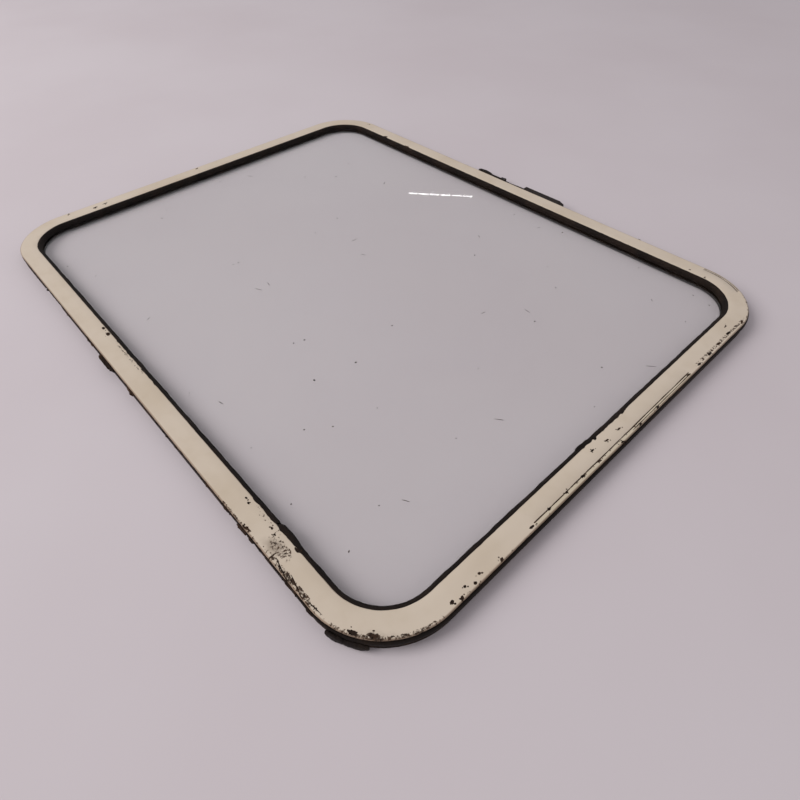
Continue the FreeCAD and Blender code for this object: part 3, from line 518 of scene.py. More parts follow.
@dataclass(frozen=True)
class EnamelFinish:
    """Aged cream enamel, chipped and pitted to rusty steel along its rim."""

    paint: tuple = linear(213, 199, 180)
    stain: tuple = linear(194, 177, 152)
    greenish: tuple = linear(196, 186, 158)
    rim: tuple = linear(120, 92, 68)
    rust: tuple = linear(86, 66, 50)
    bare: tuple = linear(40, 32, 26)
    joint_x: float = 237.0
    hem_inset: float = 3.9
    second_inset: float = 2.0

    def build(self) -> bpy.types.Material:
        """Make the material.

        Returns:
            The enamel.
        """
        material, graph, shader = start_material("cream_enamel")
        place = graph.group("Rail place")
        inset, across, up = (place.outputs[name] for name in ("Inset", "Across", "Up"))
        spot = graph.add("CombineXYZ", {0: across, 1: up}).outputs[0]
        tone = graph.group("Mottle", size=70.0)
        grain = graph.group("Mottle", size=16.0)
        hem = graph.maths("MULTIPLY", graph.maths("GREATER_THAN", across, 300.0),
                          graph.maths("COMPARE", up, -4.0, 112.0))
        fold = graph.maths("MULTIPLY", graph.maths("COMPARE", across, 300.0, 22.0),
                           graph.maths("GREATER_THAN", up, 200.0))
        marks = graph.maths("MAXIMUM", self._pitted(graph, spot, inset),
                            graph.maths("MULTIPLY", graph.maths("MAXIMUM", hem, fold),
                                        self._seam(graph, inset, up)))
        marks = graph.maths("MAXIMUM", marks, self._joint(graph, inset, across, up))
        paint = graph.blend(graph.smooth(tone.outputs["Slow"], 0.35, 0.75, 0.0, 0.45), self.paint, self.stain)
        paint = graph.blend(graph.smooth(grain.outputs["Slow"], 0.45, 0.75, 0.0, 0.22), paint, self.stain)
        strip = graph.maths("MULTIPLY", hem, graph.smooth(inset, 3.6, 4.0, 0.4, 0.0))
        paint = graph.blend(strip, paint, self.greenish)
        paint = graph.blend(self._smear(graph, spot, grain.outputs["Slow"]), paint, self.rust)
        paint = graph.blend(graph.smooth(inset, 0.3, 1.5, 0.72, 0.0), paint, self.rim)
        metal = graph.blend(graph.smooth(grain.outputs["Fine"], 0.4, 0.62), self.bare, self.rust)
        colour = graph.blend(marks, paint, metal)
        rough = graph.maths("ADD", graph.smooth(marks, 0.0, 1.0, 0.42, 0.88),
                            graph.smooth(tone.outputs["Fine"], 0.3, 0.8, -0.04, 0.12))
        height = graph.maths("SUBTRACT", graph.maths("MULTIPLY", tone.outputs["Fine"], 0.16), marks)
        bump = graph.add("Bump", {"Height": height, "Strength": 0.6, "Distance": 0.0002})
        for name, socket in (("Base Color", colour), ("Roughness", rough), ("Normal", bump.outputs[0])):
            graph.tree.links.new(socket, shader.inputs[name])
        return material

    @staticmethod
    def _pitted(graph: Graph, spot: object, inset: object) -> bpy.types.NodeSocket:
        """Find the fine pitting of the worn stretches.

        Args:
            graph: the material's graph.
            spot: where the shaded point lies.
            inset: how far it lies inside the outer edge.

        Returns:
            The mask of the pits.
        """
        total: object = 0.06
        for wear in Wear:
            centre_x, centre_y, half_x, half_y, low, high, strength = wear.value
            near = graph.smooth(graph.away(spot, (centre_x, centre_y), (half_x, half_y)), 0.5, 1.0,
                                strength, 0.0)
            band = graph.maths("MULTIPLY", graph.smooth(inset, low - 0.5, low + 0.3),
                               graph.smooth(inset, high - 1.6, high + 0.4, 1.0, 0.0))
            total = graph.maths("MAXIMUM", total, graph.maths("MULTIPLY", near, band))
        coarse = graph.group("Flaking", size=5.0, amount=graph.maths("MULTIPLY", total, 0.85), softness=0.03)
        fine = graph.group("Flaking", size=2.0, amount=total, softness=0.04)
        return graph.maths("MAXIMUM", coarse.outputs["Mask"], fine.outputs["Mask"])

    @staticmethod
    def _smear(graph: Graph, spot: object, cloud: object) -> bpy.types.NodeSocket:
        """Find the brown smears by the joint and by the torn corner.

        Args:
            graph: the material's graph.
            spot: where the shaded point lies.
            cloud: slow noise that breaks the smears up.

        Returns:
            The share of rust colour.
        """
        joint = graph.smooth(graph.away(spot, (232.0, -265.0), (19.0, 8.0), 20.0), 0.2, 1.0, 0.42, 0.0)
        corner = graph.smooth(graph.away(spot, (330.0, -252.0), (22.0, 6.0), 42.0), 0.2, 1.0, 0.4, 0.0)
        return graph.maths("MULTIPLY", graph.maths("MAXIMUM", joint, corner), graph.smooth(cloud, 0.38, 0.62))

    def _seam(self, graph: Graph, inset: object, up: object) -> bpy.types.NodeSocket:
        """Draw the hem's open seam.

        Args:
            graph: the material's graph.
            inset: how far the shaded point lies inside the outer edge.
            up: its place along the short rails.

        Returns:
            The mask of the broken dark line, doubled over its upper half.
        """
        place = graph.add("TexCoord").outputs["Object"]
        waver = graph.add("TexNoise", {"Vector": place, "Scale": 24.0, "Detail": 3.0}).outputs["Fac"]
        wavy = graph.maths("ADD", inset, graph.maths("MULTIPLY", graph.maths("SUBTRACT", waver, 0.5), 0.9))
        line = graph.maths("ABSOLUTE", graph.maths("SUBTRACT", wavy, self.hem_inset))
        second = graph.maths("ADD", graph.maths("ABSOLUTE", graph.maths("SUBTRACT", wavy, self.second_inset)),
                             graph.smooth(up, 0.0, 20.0, 1.0, 0.12))
        line = graph.maths("MINIMUM", line, second)
        broken = graph.add("TexNoise", {"Vector": place, "Scale": 60.0, "Detail": 6.0,
                                        "Roughness": 0.7}).outputs["Fac"]
        return graph.maths("LESS_THAN", line, graph.smooth(broken, 0.3, 0.6, 0.26, 0.56))

    def _joint(self, graph: Graph, inset: object, across: object, up: object) -> bpy.types.NodeSocket:
        """Draw the butt joint of the bent frame across the outer part of the -Y rail.

        Args:
            graph: the material's graph.
            inset: how far the shaded point lies inside the outer edge.
            across: its place along the long rails.
            up: its place along the short rails.

        Returns:
            The mask of the seam.
        """
        place = graph.add("TexCoord").outputs["Object"]
        waver = graph.add("TexNoise", {"Vector": place, "Scale": 190.0, "Detail": 3.0}).outputs["Fac"]
        line = graph.maths("ABSOLUTE", graph.maths("SUBTRACT", across, graph.maths(
            "ADD", self.joint_x, graph.maths("MULTIPLY", graph.maths("SUBTRACT", waver, 0.5), 3.0))))
        drawn = graph.maths("LESS_THAN", line, graph.smooth(inset, 4.0, 9.0, 0.7, 0.0))
        return graph.maths("MULTIPLY", drawn, graph.maths("LESS_THAN", up, -240.0))


@dataclass(frozen=True)
class CoarseFinish:
    """Rough dark surface such as rust or perished rubber, in two tones with dust in its hollows."""

    name: str
    dark: tuple
    light: tuple
    dust: tuple
    dust_share: float
    grain: float
    roughness: float
    relief: float
    patch: float = 18.0

    def build(self) -> bpy.types.Material:
        """Make the material.

        Returns:
            The finished material.
        """
        material, graph, shader = start_material(self.name)
        tone = graph.group("Mottle", size=self.patch)
        flakes = graph.group("Flaking", size=self.grain, amount=0.42, softness=0.12).outputs["Mask"]
        colour = graph.blend(graph.smooth(tone.outputs["Slow"], 0.38, 0.68), self.dark, self.light)
        colour = graph.blend(graph.smooth(tone.outputs["Fine"], 0.5, 0.78, 0.0, self.dust_share), colour,
                             self.dust)
        colour = graph.blend(graph.maths("MULTIPLY", flakes, 0.5), colour, self.dark)
        rough = graph.smooth(tone.outputs["Fine"], 0.25, 0.8, self.roughness - 0.1,
                             min(self.roughness + 0.1, 1.0))
        height = graph.maths("SUBTRACT", tone.outputs["Fine"], graph.maths("MULTIPLY", flakes, 0.6))
        bump = graph.add("Bump", {"Height": height, "Strength": 0.8, "Distance": self.relief * MM})
        for name, socket in (("Base Color", colour), ("Roughness", rough), ("Normal", bump.outputs[0])):
            graph.tree.links.new(socket, shader.inputs[name])
        shader.inputs["Specular IOR Level"].default_value = 0.22
        return material


@dataclass(frozen=True)
class MetalFinish:
    """Plain or plated metal with brush marks, handling grime and rust bloom."""

    name: str
    base: tuple
    grime: tuple
    bloom: tuple
    bloom_amount: float
    roughness: float
    metallic: float = 1.0

    def build(self) -> bpy.types.Material:
        """Make the material.

        Returns:
            The finished material.
        """
        material, graph, shader = start_material(self.name)
        tone = graph.group("Mottle", size=14.0)
        bloom = graph.group("Flaking", size=3.0, amount=self.bloom_amount, softness=0.1).outputs["Mask"]
        place = graph.add("TexCoord").outputs["Object"]
        drawn = graph.add("Mapping", {"Vector": place, "Scale": (60.0, 900.0, 1400.0)}).outputs[0]
        brush = graph.add("TexNoise", {"Vector": drawn, "Scale": 1.0, "Detail": 3.0}).outputs["Fac"]
        colour = graph.blend(graph.smooth(tone.outputs["Slow"], 0.4, 0.72, 0.0, 0.6), self.base, self.grime)
        colour = graph.blend(bloom, colour, self.bloom)
        rough = graph.maths("ADD", graph.smooth(bloom, 0.0, 1.0, self.roughness, 0.85),
                            graph.smooth(brush, 0.3, 0.7, -0.06, 0.08))
        metal = graph.smooth(bloom, 0.0, 1.0, self.metallic, 0.0)
        height = graph.maths("ADD", graph.maths("MULTIPLY", brush, 0.25), graph.maths("MULTIPLY", bloom, 0.8))
        bump = graph.add("Bump", {"Height": height, "Strength": 0.5, "Distance": 0.0001})
        for name, socket in (("Base Color", colour), ("Roughness", rough), ("Metallic", metal),
                             ("Normal", bump.outputs[0])):
            graph.tree.links.new(socket, shader.inputs[name])
        return material


@dataclass(frozen=True)
class GlassFinish:
    """Clear float glass with a film of dust, wiped smears and a few specks."""

    tint: tuple = (0.945, 0.955, 0.94, 1.0)

    def build(self) -> bpy.types.Material:
        """Make the material, which lets lamp light through so that the pane throws no solid shade.

        Returns:
            The glass.
        """
        material, graph, shader = start_material("dusty_glass")
        tone = graph.group("Mottle", size=120.0)
        specks = graph.group("Speckle", size=26.0, reach=0.022, share=0.5).outputs["Mask"]
        colour = graph.blend(graph.smooth(tone.outputs["Slow"], 0.35, 0.7, 0.0, 0.35), self.tint,
                             (0.91, 0.915, 0.915, 1.0))
        colour = graph.blend(graph.maths("MULTIPLY", specks, 0.75), colour, linear(120, 108, 98))
        rough = graph.maths("ADD", graph.smooth(tone.outputs["Fine"], 0.45, 0.8, 0.0, 0.05),
                            graph.maths("MULTIPLY", specks, 0.5))
        path = graph.add("LightPath")
        passing = graph.maths("MAXIMUM", path.outputs["Is Shadow Ray"], path.outputs["Is Diffuse Ray"])
        alpha = graph.maths("SUBTRACT", 1.0, graph.maths("MULTIPLY", passing, 0.93))
        for name, socket in (("Base Color", colour), ("Roughness", rough), ("Alpha", alpha)):
            graph.tree.links.new(socket, shader.inputs[name])
        shader.inputs["Transmission Weight"].default_value = 1.0
        shader.inputs["IOR"].default_value = 1.46
        return material


class Slot(Enum):
    """The material slots."""

    ENAMEL = "painted_steel"
    RUST = "rusty_steel"
    ZINC = "zinc_steel"
    BLACK = "black_steel"
    GEAR = "gear_steel"
    BRASS = "brass"
    RUBBER = "black_rubber"
    GLASS = "clear_glass"
    GRIP = "grip_plastic"


def make_finishes() -> dict[Slot, bpy.types.Material]:
    """Make one material for each slot.

    Returns:
        The materials by slot.
    """
    return {
        Slot.ENAMEL: EnamelFinish().build(),
        Slot.RUST: CoarseFinish("rusty_channel", linear(36, 27, 22), linear(72, 52, 38),
                                linear(112, 90, 72), 0.25,
                                4.0, 0.86, 0.5).build(),
        Slot.RUBBER: CoarseFinish("perished_rubber", linear(24, 18, 15), linear(38, 29, 23),
                                  linear(88, 74, 62),
                                  0.14, 3.0, 0.74, 0.25).build(),
        Slot.ZINC: MetalFinish("dull_zinc", linear(150, 148, 142), linear(96, 90, 80), linear(92, 64, 44),
                               0.34,
                               0.42).build(),
        Slot.BLACK: MetalFinish("worn_black_steel", linear(25, 18, 15), linear(16, 12, 10),
                                linear(58, 40, 29), 0.3,
                                0.66, 0.1).build(),
        Slot.GEAR: MetalFinish("greased_steel", linear(128, 122, 112), linear(46, 38, 30),
                               linear(60, 44, 32), 0.22,
                               0.3).build(),
        Slot.BRASS: MetalFinish("dull_brass", linear(186, 150, 88), linear(108, 84, 48),
                                linear(70, 76, 54), 0.24,
                                0.34).build(),
        Slot.GRIP: CoarseFinish("worn_plastic", linear(30, 24, 21), linear(42, 35, 31), linear(98, 88, 78),
                                0.16, 5.0,
                                0.5, 0.06).build(),
        Slot.GLASS: GlassFinish().build(),
    }


# ---------------------------------------------------------------- pieces

@dataclass
class Workshop:
    """Turns finished meshes into pieces, and dresses and seats them on their bodies."""

    outline: SashOutline
    finishes: dict[Slot, bpy.types.Material]
    made: int = 0

    def piece(self, mesh: bmesh.types.BMesh, name: str, slot: Slot, body: str, replaces: Iterable[str] = (),
              smooth_angle: float = 40.0) -> bpy.types.Object:
        """Make an object of a mesh and seat it.

        Args:
            mesh: the finished mesh, which is freed.
            name: the piece's name.
            slot: its material slot.
            body: the moving body that it rides on.
            replaces: CAD nodes that it stands for.
            smooth_angle: edges sharper than this, in degrees, stay crisp.

        Returns:
            The new object.
        """
        data = bpy.data.meshes.new(name)
        mesh.to_mesh(data)
        mesh.free()
        data.materials.append(self.finishes[slot])
        data.shade_smooth()
        data.set_sharp_from_angle(angle=math.radians(smooth_angle))
        item = bpy.data.objects.new(name, data)
        bpy.context.scene.collection.objects.link(item)
        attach(item, body)
        if replaces:
            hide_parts(*replaces)
        self.made += 1
        log.info("piece %s: %d faces on %s", name, len(data.polygons), body)
        return item

    def dress(self, node: str, slot: Slot) -> None:
        """Give a CAD node its finish."""
        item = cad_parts[node]
        item.data.materials.clear()
        item.data.materials.append(self.finishes[slot])
        log.info("node %s: %s", node, slot.value)

    def softened(self, node: str, name: str, slot: Slot, body: str, width: float) -> bpy.types.Object:
        """Stand a copy with broken edges in place of a crisp CAD node.

        Args:
            node: the CAD node.
            name: the new piece's name.
            slot: its material slot.
            body: the body that it rides on.
            width: how wide the broken edges are, in millimetres.

        Returns:
            The new piece.
        """
        mesh = bmesh.new()
        mesh.from_mesh(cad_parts[node].data)
        bmesh.ops.remove_doubles(mesh, verts=mesh.verts, dist=0.002 * MM)
        bmesh.ops.dissolve_limit(mesh, angle_limit=math.radians(2), verts=mesh.verts, edges=mesh.edges)
        bmesh.ops.recalc_face_normals(mesh, faces=mesh.faces)
        item = self.piece(mesh, name, slot, body, (node,), 35.0)
        bevel = item.modifiers.new("broken_edges", "BEVEL")
        bevel.width = width * MM
        bevel.segments = 2
        bevel.limit_method = "ANGLE"
        bevel.angle_limit = math.radians(35)
        bevel.harden_normals = True
        return item


def ragged(seed: float, spot: Vector, size: float) -> float:
    """Smooth noise between -1 and 1 with features of a size in millimetres."""
    return noise.fractal(spot / (size * MM) + Vector((seed, seed * 1.7, -seed)), 0.6, 2.1, 4)


def lump(mesh: bmesh.types.BMesh, spot: Vector, size: Vector, turn: float, seed: float,
         rough: float = 0.42) -> None:
    """Add one noisy lump to a mesh.

    Args:
        mesh: the mesh that takes the lump.
        spot: its centre, in metres.
        size: its half sizes in millimetres.
        turn: its turn about the vertical, in radians.
        seed: its own noise.
        rough: how uneven it is.
    """
    ball = bmesh.ops.create_icosphere(mesh, subdivisions=3 if size.x > 2.5 else 2, radius=1.0)["verts"]
    for vert in ball:
        vert.co *= 1.0 + rough * noise.fractal(vert.co * 1.4 + Vector((seed, 0, -seed)), 0.7, 2.2, 3)
    shape = Matrix.Rotation(turn, 4, "Z") @ Matrix.Diagonal((*(size * MM), 1.0))
    bmesh.ops.transform(mesh, matrix=Matrix.Translation(spot) @ shape, verts=ball)


@dataclass
class PaintedFace:
    """The cream face with its rolled outer edge, hem and nibbled rim."""

    shop: Workshop
    profile: tuple = ((0.0, 13.3), (0.0, 13.8), (0.12, 14.1), (0.36, 14.32), (0.7, 14.45), (1.1, 14.5),
                      (3.45, 14.46),
                      (3.7, 14.30), (4.0, 14.30), (4.25, 14.44), (11.5, 14.42), (18.4, 14.40), (19.1, 14.2),
                      (19.5, 13.8), (19.5, 13.3))
    nibble: float = 0.4
    wave: float = 0.08
    spot_height: float = 14.46
    seed: int = 17
    hem_stretches: tuple = ((300.0, 360.0, -116.0, 108.0), (278.0, 322.0, 200.0, 300.0))

    def build(self) -> None:
        """Sweep the face and wear its rim."""
        outline = self.shop.outline
        mesh = RailSweep(outline, self.profile, step=2.6 * MM, corner_steps=40).build()
        for vert in mesh.verts:
            inset = outline.inset(vert.co) / MM
            flat = Vector((vert.co.x, vert.co.y, 0))
            if inset < 1.3:
                bite = max(0.0, ragged(3.1, flat, 7.0) - 0.2) * self.nibble
                vert.co -= outline.outward(vert.co) * bite * MM
            across, up = flat.x / MM, (flat.y - outline.centre_y) / MM
            in_hem = any(left < across < right and low < up < high
                         for left, right, low, high in self.hem_stretches)
            if 3.5 < inset < 4.1 and not in_hem:
                vert.co.z = 14.45 * MM
            if vert.co.z > 14.2 * MM:
                vert.co.z -= abs(ragged(8.4, flat, 60.0)) * self.wave * MM
        self.shop.piece(mesh, "painted_face", Slot.ENAMEL, "sash", ("face_pressing",), 50.0)
        self._rust_spots()

    def _rust_spots(self) -> None:
        """Raise rows of thin rust spots through the enamel, each spot with a few smaller ones round it."""
        outline = self.shop.outline
        draw = random.Random(self.seed)
        mesh = bmesh.new()
        for number, row in enumerate(SpotRow):
            rail, first, last, low, high, count, half_length, slim = row.value
            for index in range(count):
                along = first + (last - first) * index / max(count - 1, 1)
                centre, heading = outline.walk(rail, along * MM, draw.uniform(low, high) * MM)
                centre.z = self.spot_height * MM
                turn = math.atan2(heading.y, heading.x) + draw.uniform(-0.3, 0.3)
                long = half_length * draw.uniform(0.7, 0.95)
                lump(mesh, centre, Vector((long, long * slim, 0.16)), turn, 10.0 * number + index, 0.4)
                self._satellites(mesh, draw, centre, heading, half_length, half_length * slim)
        for vert in mesh.verts:
            vert.co.z = min(vert.co.z, outline.top - 0.005 * MM)
        self.shop.piece(mesh, "rust_spots", Slot.RUST, "sash", smooth_angle=70.0)

    @staticmethod
    def _satellites(mesh: bmesh.types.BMesh, draw: random.Random, centre: Vector, heading: Vector,
                    half_length: float, half_width: float) -> None:
        """Scatter small spots round one rust spot.

        Args:
            mesh: the mesh that takes them.
            draw: the random numbers of the face.
            centre: the middle of the spot.
            heading: the way the rail runs there.
            half_length: half the spot's length in millimetres.
            half_width: half its width.
        """
        across = Vector((-heading.y, heading.x, 0))
        for _ in range(int(2 + half_length)):
            spread = heading * draw.gauss(0, half_length * 0.75) + across * draw.gauss(0, half_width * 0.9)
            size = draw.uniform(0.25, 0.35 + 0.2 * half_width)
            shape = Vector((size * draw.uniform(1.0, 2.0), size, 0.12))
            lump(mesh, centre + spread * MM, shape, draw.uniform(0, 3), size, 0.4)


@dataclass
class GlazingBead:
    """The rubber that grips the pane, with a lip, a ribbed inner wall and a joint with one proud end."""

    shop: Workshop
    profile: tuple = ((17.2, 1.25), (17.2, 13.25), (19.0, 13.3), (19.2, 14.2), (19.6, 14.47), (20.3, 14.40),
                      (21.2, 14.0), (22.1, 13.3), (22.8, 12.4), (23.2, 11.5), (23.3, 10.9), (23.05, 10.7),
                      (23.05, 10.5), (23.3, 10.3), (23.4, 9.02), (19.3, 9.02), (19.3, 4.98), (23.7, 4.98),
                      (23.7, 3.4), (23.3, 3.1), (23.6, 2.7), (23.4, 1.25))
    joint_x: float = 219.0
    joint_gap: float = 2.2
    proud_length: float = 27.0
    ragged_stretches: tuple = ((-62.0, 22.0, 1.5), (-102.0, -94.0, 1.2), (186.0, 216.0, 1.3),
                               (219.0, 248.0, 1.2))

    def build(self) -> None:
        """Sweep the bead from its joint on the -Y rail and back."""
        outline = self.shop.outline
        mesh = RailSweep(outline, self.profile, start_x=self.joint_x * MM, gap=self.joint_gap * MM,
                         far_rail=False,
                         step=2.4 * MM, corner_steps=40).build()
        for vert in mesh.verts:
            inset = outline.inset(vert.co) / MM
            flat = Vector((vert.co.x, vert.co.y, 0))
            out = outline.outward(vert.co)
            if 18.9 < inset < 19.8 and vert.co.z > 14.1 * MM:
                vert.co += out * self._overlap(vert.co) * MM
            elif inset > 19.7 and vert.co.z > 9.5 * MM:
                swell = ragged(5.0, flat, 22.0) * 0.3 + ragged(6.0, flat, 5.0) * 0.15
                swell = max(-0.5, min(swell, 0.5)) + self._proud(vert.co)
                vert.co -= out * swell * MM
                vert.co.z = min(vert.co.z + swell * 0.4 * MM, outline.top - 0.02 * MM)
        self.shop.piece(mesh, "glazing_bead", Slot.RUBBER, "sash", ("glazing_rubber",), 45.0)

    def _overlap(self, spot: Vector) -> float:
        """Work out how far the lip creeps over the enamel.

        Args:
            spot: a point on the lip's edge.

        Returns:
            The extra reach in millimetres.
        """
        reach = 0.3
        if spot.y < 0:
            for start, end, most in self.ragged_stretches:
                if start < spot.x / MM < end:
                    reach = most
        if spot.x > 0 and abs((spot.y - self.shop.outline.centre_y) / MM + 5.0) < 35.0:
            reach = 2.2
        return reach * max(-0.3, 0.2 + ragged(7.0, Vector((spot.x, spot.y, 0)), 6.0))

    def _proud(self, spot: Vector) -> float:
        """Work out how far the loose end stands in past its neighbour.

        Args:
            spot: a point on the bead.

        Returns:
            The extra reach in millimetres.
        """
        along = spot.x / MM - self.joint_x
        if spot.y > 0 or not 0.0 <= along < self.proud_length:
            return 0.0
        return 1.3 * math.sin(math.pi * (0.25 + 0.75 * along / self.proud_length))


@dataclass
class PaneDust:
    """Specks and short scuffs that lie on the pane."""

    shop: Workshop
    specks: int = 60
    scuffs: int = 16
    seed: int = 5
    margin: float = 12
    speck_size: tuple = (0.3, 0.8)
    speck_stretch: tuple = (1.0, 1.8)
    scuff_length: tuple = (2.0, 4.5)
    scuff_width: float = 0.3
    thickness: float = 0.12
    roughness: float = 0.5

    def build(self) -> None:
        """Scatter them over the glass."""
        low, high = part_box("glass_pane")
        draw = random.Random(self.seed)
        mesh = bmesh.new()
        margin = self.margin * MM
        for index in range(self.specks + self.scuffs):
            spot = Vector((draw.uniform(low.x + margin, high.x - margin),
                           draw.uniform(low.y + margin, high.y - margin),
                           high.z))
            size = draw.uniform(*self.speck_size)
            if index < self.specks:
                long = size * draw.uniform(*self.speck_stretch)
                wide = size
            else:
                long = draw.uniform(*self.scuff_length)
                wide = self.scuff_width
            half_size = Vector((long, wide, self.thickness))
            lump(mesh, spot, half_size, draw.uniform(0.0, math.pi), index, self.roughness)
        self.shop.piece(mesh, "pane_dust", Slot.RUST, "sash", smooth_angle=70.0)


@dataclass
class PerishedSeal:
    """The outer strip, crumbled away to different depths, with lumps, crumbs and a torn tail.

    Each band of the tail gives its first and last angle round the corner in degrees, then how far it stands
    out, its height and its half thickness in millimetres, and its own noise.
    """

    shop: Workshop
    profile: tuple = ((0.0, 8.2), (-1.6, 8.3), (-2.9, 8.9), (-3.3, 10.0), (-3.1, 11.2), (-2.2, 12.1),
                      (-0.9, 12.2), (0.0, 12.2))
    clear_of_operator: float = 5.8
    seed: int = 41
    tail_half_height: float = 4.4
    tail_roughness: float = 0.18
    tail: tuple = ((-75.5, -63.5, 2.5, 6.4, 2.1, 2.0), (-65.5, -49.5, 2.3, 5.6, 1.8, 7.0))

    def build(self) -> None:
        """Make the strip and everything that hangs from it."""
        self._strip()
        self._crumbs()
        self._torn_tail()
        self._sealant()

    def _kept(self, spot: Vector) -> float:
        """Work out how much of the strip's depth is left.

        Args:
            spot: a point on the strip.

        Returns:
            The share that is left.
        """
        outline = self.shop.outline
        flat = Vector((spot.x, spot.y, 0))
        right = max(0.0, min(1.0, (spot.x - outline.half_x + 90 * MM) / (80 * MM)))
        near_right = max(0.0, min(1.0, (spot.x / MM - 110) / 130)) if spot.y < outline.centre_y else 0.0
        left = 0.12 + 0.34 * right + 0.14 * near_right
        rough = 0.16 * (1.0 - 0.6 * right)
        return max(0.04, left + rough * ragged(1.0, flat, 26.0) + 0.5 * rough * ragged(2.0, spot, 5.0))

    def _strip(self) -> None:
        """Sweep the strip from one side of the operator round to the other, then eat into it."""
        outline = self.shop.outline
        low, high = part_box("operator_cover")
        start = low.x - self.clear_of_operator * MM
        gap = high.x + self.clear_of_operator * MM - start
        mesh = RailSweep(outline, self.profile, start_x=start, gap=gap, step=2.2 * MM,
                         corner_steps=44).build()
        for vert in mesh.verts:
            inset = outline.inset(vert.co) / MM
            if inset > -0.3:
                continue
            vert.co += outline.outward(vert.co) * inset * (1.0 - self._kept(vert.co)) * MM
            vert.co.z += ragged(4.0, vert.co, 6.0) * 0.3 * MM
        self.shop.piece(mesh, "perished_seal", Slot.RUBBER, "sash", ("outer_seal",), 60.0)

    def _keep_inside(self, mesh: bmesh.types.BMesh) -> None:
        """Hold a mesh within the sash's own footprint and height."""
        reach = 3.9 * MM
        outline = self.shop.outline
        for vert in mesh.verts:
            over = -outline.inset(vert.co) - reach
            if over > 0:
                vert.co -= outline.outward(vert.co) * over
            vert.co.z = min(max(vert.co.z, 0.1 * MM), outline.top - 0.03 * MM)

    def _crumbs(self) -> None:
        """Add rust and rubber crumbs along the near rails, the largest left of the middle of the -Y rail."""
        outline = self.shop.outline
        draw = random.Random(self.seed)
        mesh = bmesh.new()
        low_y, high_x = outline.centre_y - outline.half_y, outline.half_x
        large = ((-52, 5.0, 2.6), (-45, 5.5, 3.3), (-37, 5.0, 2.9), (-30, 4.0, 2.0), (-88, 4.0, 1.0),
                 (-78, 3.2, 1.1),
                 (7, 4.6, 1.5), (14, 3.2, 1.7), (150, 4.4, 1.0), (178, 5.0, 1.1), (203, 6.0, 1.4),
                 (214, 4.0, 1.1),
                 (262, 5.0, 1.0), (284, 4.4, 1.3))
        for index, (along, length, reach) in enumerate(large):
            spot = Vector((along * MM, low_y - reach * 0.4 * MM, (10.8 + 0.6 * math.sin(index)) * MM))
            lump(mesh, spot, Vector((length, reach, 2.4)), draw.uniform(-0.15, 0.15), 3.0 + index, 0.62)
        for index in range(90):
            along = outline.half_x * (0.82 - 1.5 * draw.random() ** 2)
            size = draw.uniform(0.4, 1.0)
            spot = Vector((along, low_y - draw.uniform(-0.2, 0.7) * MM, draw.uniform(8.0, 13.2) * MM))
            lump(mesh, spot, Vector((size * draw.uniform(1.0, 2.4), size, size)), draw.uniform(-0.5, 0.5),
                 index)
        for index in range(40):
            along = draw.uniform(-1.0, 1.0) * (outline.half_y - outline.corner) + outline.centre_y
            size = draw.uniform(0.4, 0.9)
            spot = Vector((high_x + draw.uniform(0.2, 1.0) * MM, along, draw.uniform(8.0, 12.6) * MM))
            lump(mesh, spot, Vector((size, size * draw.uniform(1.0, 2.6), size)), draw.uniform(-0.5, 0.5),
                 index)
        self._keep_inside(mesh)
        self.shop.piece(mesh, "rust_crumbs", Slot.RUST, "sash", smooth_angle=70.0)

    def _torn_tail(self) -> None:
        """Hang the two torn bands of rubber under the corner between the -Y and +X rails."""
        outline = self.shop.outline
        centre = Vector((outline.half_x - outline.corner,
                         outline.centre_y - outline.half_y + outline.corner, 0))
        mesh = bmesh.new()
        for start, end, reach, height, thick, seed in self.tail:
            ball = bmesh.ops.create_uvsphere(mesh, u_segments=20, v_segments=44, radius=1.0)["verts"]
            for vert in ball:
                away = math.hypot(vert.co.x, vert.co.y)
                full = away ** -0.6 if away > 0.001 else 0.0
                place = Vector((vert.co.z * 2.2 + seed, vert.co.x, seed))
                wobble = 1.0 + self.tail_roughness * noise.fractal(place, 0.7, 2.2, 3)
                angle = math.radians((start + end) / 2 + (end - start) / 2 * vert.co.z)
                ring = outline.corner + (reach + vert.co.x * full * thick * wobble) * MM
                level = (height + vert.co.y * full * self.tail_half_height * wobble) * MM
                vert.co = centre + Vector((math.cos(angle) * ring, math.sin(angle) * ring, level))
        bmesh.ops.recalc_face_normals(mesh, faces=mesh.faces)
        self._keep_inside(mesh)
        self.shop.piece(mesh, "torn_seal_tail", Slot.RUBBER, "sash", smooth_angle=70.0)

    def _sealant(self) -> None:
        """Smear squeezed-out sealant over the inner edge of the +X rail."""
        outline = self.shop.outline
        mesh = bmesh.new()
        for index, (along, inset, wide, long) in enumerate((
                (-34, 22.4, 1.2, 6.0), (-28, 21.8, 1.3, 5.0), (-24, 19.9, 1.6, 5.0), (-18, 18.3, 1.6, 2.6),
                (-10, 19.6, 1.4, 4.0), (-1, 19.8, 1.5, 4.0), (8, 19.4, 1.7, 5.0), (16, 19.2, 1.7, 5.0),
                (23, 18.9, 1.6, 3.6), (27, 19.3, 1.3, 2.6))):
            spot = Vector((outline.half_x - inset * MM, outline.centre_y + along * MM, 14.0 * MM))
            lump(mesh, spot, Vector((wide, long, 0.6)), 0.06 * math.sin(index), 50.0 + index, 0.22)
        self._keep_inside(mesh)
        self.shop.piece(mesh, "squeezed_sealant", Slot.RUBBER, "sash", smooth_angle=70.0)


